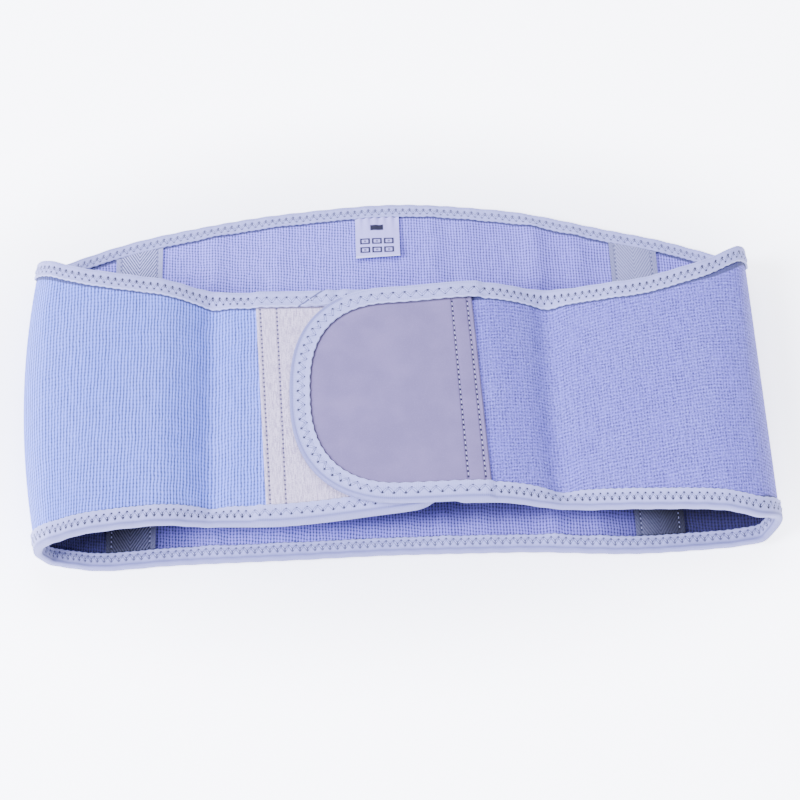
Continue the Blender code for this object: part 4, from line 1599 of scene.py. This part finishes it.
    def build(self) -> bpy.types.Object:
        """Sweep the folded section round the rim, dress the strip and return it."""
        section = self.corners()
        stops = self.stitches * self.steps_a_stitch
        clear_choice()
        bpy.ops.mesh.primitive_grid_add(x_subdivisions=stops, y_subdivisions=len(section), size=1.0)
        strip = bpy.context.object
        strip.name = strip.data.name = "binding_strip"
        flat = points_of(strip)
        stop = np.rint((flat[:, 0] + 0.5) * stops).astype(int)
        corner = np.rint((flat[:, 1] + 0.5) * len(section)).astype(int) % len(section)
        count = stop / self.steps_a_stitch
        reach, wall, share = (np.array(column)[corner] for column in zip(*section))
        outer = wall > 0.25
        height = np.where(outer, self.top(count, reach, Face.OUTER),
                          self.top(count, reach, Face.INNER))
        height = np.where(share < 1.0, share * self.path.ply, height)
        lift = np.where(wall > 0.75, height, np.where(wall < 0.25, -height, 0.0))
        free = np.where(outer, self.path.outside_leg, self.path.inside_leg)
        fade = smooth_step((reach - free + self.scallop_start) / self.scallop_ramp)
        scallop = self.scallop * np.cos(2 * math.pi * count) * fade
        map_cloth(strip, count, np.where(outer, reach, -reach))
        map_cloth(strip, self.rim_at(count)[:, 0], self.on_high_rim(count), RIM_MAP)
        finish = BindingFinish(self.outer_rows, self.inner_rows, self.lap_edge, self.lap_slant,
                               self.path.pad_length, self.path.tab_start)
        strip.data.materials.append(finish.material())
        spots = self.spot(count, reach - scallop, wall, lift)
        strip.data.vertices.foreach_set("co", spots.ravel())
        edit_all(strip, lambda: bpy.ops.mesh.remove_doubles(threshold=self.merge))
        move_points(strip, points_of(strip))
        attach(strip, "root")
        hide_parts("edge_binding_lower_left", "edge_binding_lower_right",
                    "edge_binding_upper_left", "edge_binding_upper_right")
        return strip


def model_stitch(sides: int, rings: int) -> tuple[np.ndarray, list[tuple[int, ...]]]:
    """Model one stitch along X, from 0 to 1, one unit in radius and with closed ends.

    Args:
        sides: how many sides its round section has.
        rings: how many cuts it has along its length.

    Returns:
        Its points and its faces.
    """
    clear_choice()
    bpy.ops.mesh.primitive_cylinder_add(vertices=sides, radius=1.0, depth=1.0,
                                        location=(0.5, 0.0, 0.0), rotation=(0.0, math.pi / 2, 0.0))
    stitch = bpy.context.object
    bpy.ops.object.transform_apply(location=True, rotation=True, scale=True)
    bpy.ops.object.mode_set(mode="EDIT")
    for ring in range(1, rings):
        bpy.ops.mesh.select_all(action="SELECT")
        bpy.ops.mesh.bisect(plane_co=(ring / rings, 0.0, 0.0), plane_no=(1.0, 0.0, 0.0))
    bpy.ops.object.mode_set(mode="OBJECT")
    spots = points_of(stitch)
    faces = [tuple(face.vertices) for face in stitch.data.polygons]
    bpy.data.objects.remove(stitch, do_unlink=True)
    return spots, faces


@dataclass
class Stitches:
    """All the threads that show: the binding's zigzag and the straight rows of lock stitches."""

    path: BeltPath
    binding: EdgeBinding
    zigzag_radius: float = 0.00022
    arch: float = 0.00008
    plunge: float = 0.00065
    lock_radius: float = 0.00020
    lock_span: Pair = (0.25, 0.50)
    lock_level: float = 0.6
    sink: float = 0.00028
    taper: float = 0.6
    taper_reach: float = 0.01
    zigzag_sides: int = 5
    lock_sides: int = 6
    rings: int = 4
    outer_margin: float = 0.0006
    inner_margin: float = 0.0012
    zigzag_colour: Colour = (0.47, 0.48, 0.78)

    def body(self, t: np.ndarray, radius: float) -> np.ndarray:
        """Return the thread's radius at t along a stitch, thinner at its two ends."""
        end = (t < self.taper_reach) | (t > 1 - self.taper_reach)
        return np.where(end, self.taper, 1.0) * radius

    def zigzag(self) -> bpy.types.Object:
        """Lay the binding's zigzag on both of its faces."""
        model, faces = model_stitch(self.zigzag_sides, self.rings)
        starts = np.arange(self.binding.stitches * 2) / 2
        pitch = self.binding.loop_length / self.binding.stitches
        sets = []
        for face, (near_row, far_row) in ((Face.OUTER, self.binding.outer_rows),
                                          (Face.INNER, self.binding.inner_rows)):
            t, across, up = (np.tile(column, len(starts)) for column in model.T)
            first = np.repeat(starts, len(model))
            falls = np.isclose(np.mod(first, 1.0), 0.0)
            reach = np.where(falls, far_row + (near_row - far_row) * t,
                             near_row + (far_row - near_row) * t)
            count = first + t / 2
            arch = self.arch - self.plunge * (2 * t - 1) ** 4
            body = self.body(t, self.zigzag_radius)
            slope = (far_row - near_row) / (pitch / 2)
            tilt = np.where(falls, slope, -slope)
            norm = np.sqrt(1 + tilt ** 2)
            count = count + across * body * tilt / norm / pitch
            reach = reach + across * body / norm
            top = self.binding.top(count, reach, face)
            lift = face.value * (top + arch + up * body)
            wall = np.full_like(lift, float(face is Face.OUTER))
            sets.append((self.binding.spot(count, reach, wall, lift), t, across))
        return self.join("binding_stitches", sets, model, faces,
                         ThreadFinish("binding_thread", self.zigzag_colour), "binding")

    def rows(self, name: str, cloth: ClothSheet, level: float, face: Face) -> bpy.types.Object:
        """Lay a sheet's straight rows of lock stitches.

        Args:
            name: the piece's name.
            cloth: the sheet that the rows hold.
            level: n of the sheet's face that shows.
            face: which way that face looks.

        Returns:
            The threads as one piece.
        """
        model, faces = model_stitch(self.lock_sides, self.rings)
        margin = self.path.inside_leg + self.inner_margin
        if face is Face.OUTER:
            margin = self.path.outside_leg + self.outer_margin
        sets = []
        for seam in cloth.seams():
            low, high = self.path.outline(np.array([seam.at]), margin)
            first, last = math.ceil(low[0] / seam.pitch), math.floor(high[0] / seam.pitch)
            starts = np.arange(first, last) * seam.pitch
            t, across, up = (np.tile(column, len(starts)) for column in model.T)
            body = self.body(t, self.lock_radius)
            y = np.repeat(starts, len(model))
            y = y + seam.pitch * (self.lock_span[0] + self.lock_span[1] * t)
            arch = self.sink * (4 * t * (1 - t) - self.lock_level)
            n = level + face.value * (arch + up * body)
            s = self.path.leaned(np.full_like(y, seam.at), y, seam.edge) + across * body
            sets.append((self.path.place(s, y, n), t, across))
        finish = ThreadFinish(name + "_thread", cloth.thread)
        return self.join(name, sets, model, faces, finish, cloth.slot)

    def join(self, name: str, sets: list[tuple[np.ndarray, np.ndarray, np.ndarray]],
             model: np.ndarray, faces: list[tuple[int, ...]], finish: ThreadFinish, slot: str
             ) -> bpy.types.Object:
        """Join copies of the modelled stitch to one piece and dress it.

        Args:
            name: the piece's name.
            sets: places, shares along the stitch and places across it, for each row.
            model: the modelled stitch's points.
            faces: the modelled stitch's faces.
            finish: the thread's finish.
            slot: the material slot of the cloth that is sewn; not used.

        Returns:
            The joined piece.
        """
        spots, along, across = (np.concatenate(parts) for parts in zip(*sets))
        copies = len(spots) // len(model)
        all_faces = [tuple(v + copy * len(model) for v in face)
                     for copy in range(copies) for face in faces]
        mesh = bpy.data.meshes.new(name)
        mesh.from_pydata(spots.tolist(), [], all_faces)
        piece = bpy.data.objects.new(name, mesh)
        bpy.context.scene.collection.objects.link(piece)
        map_cloth(piece, along, across)
        piece.data.materials.append(finish.material())
        move_points(piece, spots)
        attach(piece, "root")
        return piece


@dataclass(frozen=True)
class Lamp:
    """A square soft light: where it hangs, its side in metres and its power in watts."""

    name: str
    place: tuple[float, float, float]
    size: float
    power: float


@dataclass
class Studio:
    """The pale floor, the soft lights and the camera at the photograph's angle."""

    elevation: float = 55.0
    turn: float = 1.8
    distance: float = 1.5
    lens: float = 120.15
    aim_height: float = 0.015
    sensor: float = 36.0
    cool: Colour = (0.72, 0.75, 1.0)
    surround: float = 0.40
    floor_size: float = 12.0
    floor_drop: float = 0.0005
    floor_colour: Colour = (0.95, 0.95, 0.96)
    glow: float = 5.2
    # The floor glows less near the belt: a painted soft shadow pool
    shadow_pool_glow: float = 2.2
    shadow_pool_reach: Pair = (0.21, 0.13)
    shadow_pool_ramp: Pair = (0.9, 1.7)
    lamps: tuple[Lamp, ...] = (Lamp("key_light", (-1.5, -0.7, 1.4), 1.0, 165.0),
                               Lamp("front_light", (0.4, -1.6, 0.9), 1.2, 36.0),
                               Lamp("top_light", (0.0, 0.6, 1.9), 1.4, 64.0))

    def build(self) -> None:
        """Lay the floor, hang the lights and set the camera."""
        self.floor()
        for lamp in self.lamps:
            self.light(lamp)
        self.world()
        self.camera()

    def floor(self) -> None:
        """Lay a wide pale floor under the belt that glows to stay white, and glows less near the
        belt: a painted soft shadow pool round it.
        """
        clear_choice()
        bpy.ops.mesh.primitive_plane_add(size=self.floor_size,
                                         location=(0.0, 0.0, -self.floor_drop))
        floor = bpy.context.object
        floor.name = floor.data.name = "floor"
        material = bpy.data.materials.new("floor")
        material.use_nodes = True
        shader = material.node_tree.nodes["Principled BSDF"]
        shader.inputs["Base Color"].default_value = (*self.floor_colour, 1.0)
        shader.inputs["Roughness"].default_value = 0.9
        shader.inputs["Specular IOR Level"].default_value = 0.1
        shader.inputs["Emission Color"].default_value = (1.0, 1.0, 1.0, 1.0)
        tree = material.node_tree
        stretch = tree.nodes.new("ShaderNodeVectorMath")
        stretch.operation = "MULTIPLY"
        stretch.inputs[1].default_value = (1 / self.shadow_pool_reach[0], 1 / self.shadow_pool_reach[1], 0.0)
        away = tree.nodes.new("ShaderNodeVectorMath")
        away.operation = "LENGTH"
        glow = tree.nodes.new("ShaderNodeMapRange")
        glow.interpolation_type = "SMOOTHSTEP"
        for name, value in zip(("From Min", "From Max", "To Min", "To Max"),
                               (*self.shadow_pool_ramp, self.shadow_pool_glow, self.glow)):
            glow.inputs[name].default_value = value
        spot = tree.nodes.new("ShaderNodeTexCoord")
        tree.links.new(spot.outputs["Object"], stretch.inputs[0])
        tree.links.new(stretch.outputs["Vector"], away.inputs[0])
        tree.links.new(away.outputs["Value"], glow.inputs["Value"])
        tree.links.new(glow.outputs["Result"], shader.inputs["Emission Strength"])
        floor.data.materials.append(material)

    def light(self, lamp: Lamp) -> None:
        """Hang a light that looks at the belt."""
        data = bpy.data.lights.new(lamp.name, "AREA")
        data.size = lamp.size
        data.energy = lamp.power
        data.color = self.cool
        light = bpy.data.objects.new(lamp.name, data)
        light.location = lamp.place
        light.rotation_euler = (-Vector(lamp.place)).to_track_quat("-Z", "Y").to_euler()
        bpy.context.scene.collection.objects.link(light)

    def world(self) -> None:
        """Fill the shadows with an even white surround."""
        world = bpy.data.worlds.new("surround")
        world.use_nodes = True
        background = world.node_tree.nodes["Background"]
        background.inputs["Color"].default_value = (*self.cool, 1.0)
        background.inputs["Strength"].default_value = self.surround
        bpy.context.scene.world = world

    def camera(self) -> None:
        """Set the camera at the photograph's angle."""
        tilt = math.radians(self.elevation)
        way = Vector((0.0, math.cos(tilt), -math.sin(tilt)))
        place = Vector((0.0, 0.0, self.aim_height)) - way * self.distance
        spin = Matrix.Rotation(-math.radians(self.turn), 3, "Z")
        data = bpy.data.cameras.new("camera")
        data.lens = self.lens
        data.sensor_width = self.sensor
        data.clip_end = 20.0
        camera = bpy.data.objects.new("camera", data)
        camera.location = spin @ place - Vector(DRAWING_SHIFT)
        camera.rotation_euler = (spin @ way).to_track_quat("-Z", "Y").to_euler()
        bpy.context.scene.collection.objects.link(camera)
        bpy.context.scene.camera = camera


def main() -> None:
    """Build and dress every piece of the belt, then the studio."""
    logging.basicConfig(level=logging.INFO, format="%(name)s %(message)s")
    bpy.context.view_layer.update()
    Studio().build()
    path = BeltPath()
    binding = EdgeBinding(path)
    binding.lay_out()
    path.remember_rim(binding.loop)
    sheets = [
        (ElasticBand(path), "laid", ()),
        (LandingPad(path), "laid", ("band_knit",)),
        (ClosureTab(path), "laid", ("pad_pile",)),
        (StayTape(path), "laid", ("band_knit",)),
        # The right tape: a copy painted darker, as in shade
        (StayTape(path, name="tape_right", node="stay_channel_right", share=0.685, painted_light_share=0.64,
                  bold=0.62), "laid", ("band_knit",)),
        (SizeLabel(path), "laid", ("band_knit",)),
    ]
    for sheet, held, lies_on in sheets:
        piece = sheet.build()
        LOG.info("%s: %.4f by %.4f m flat, %.5f m2, %d faces", piece.name, sheet.flat_width,
                 sheet.flat_length, sheet.flat_area, len(piece.data.polygons))
    strip = binding.build()
    stitches = Stitches(path, binding)
    pad, tab, *tapes = (sheet for sheet, _, _ in sheets[1:5])
    face = path.band / 2 + path.clear
    threads = [stitches.zigzag(),
               stitches.rows("pad_stitches", pad, face + path.pad, Face.OUTER),
               stitches.rows("tab_stitches", tab, face + path.tab, Face.OUTER)]
    for tape in tapes:
        threads.append(stitches.rows(tape.name + "_stitches", tape, -face - tape.thick,
                                     Face.INNER))
    for piece in threads:
        LOG.info("%s: %d faces", piece.name, len(piece.data.polygons))


if __name__ == "__main__":
    main()
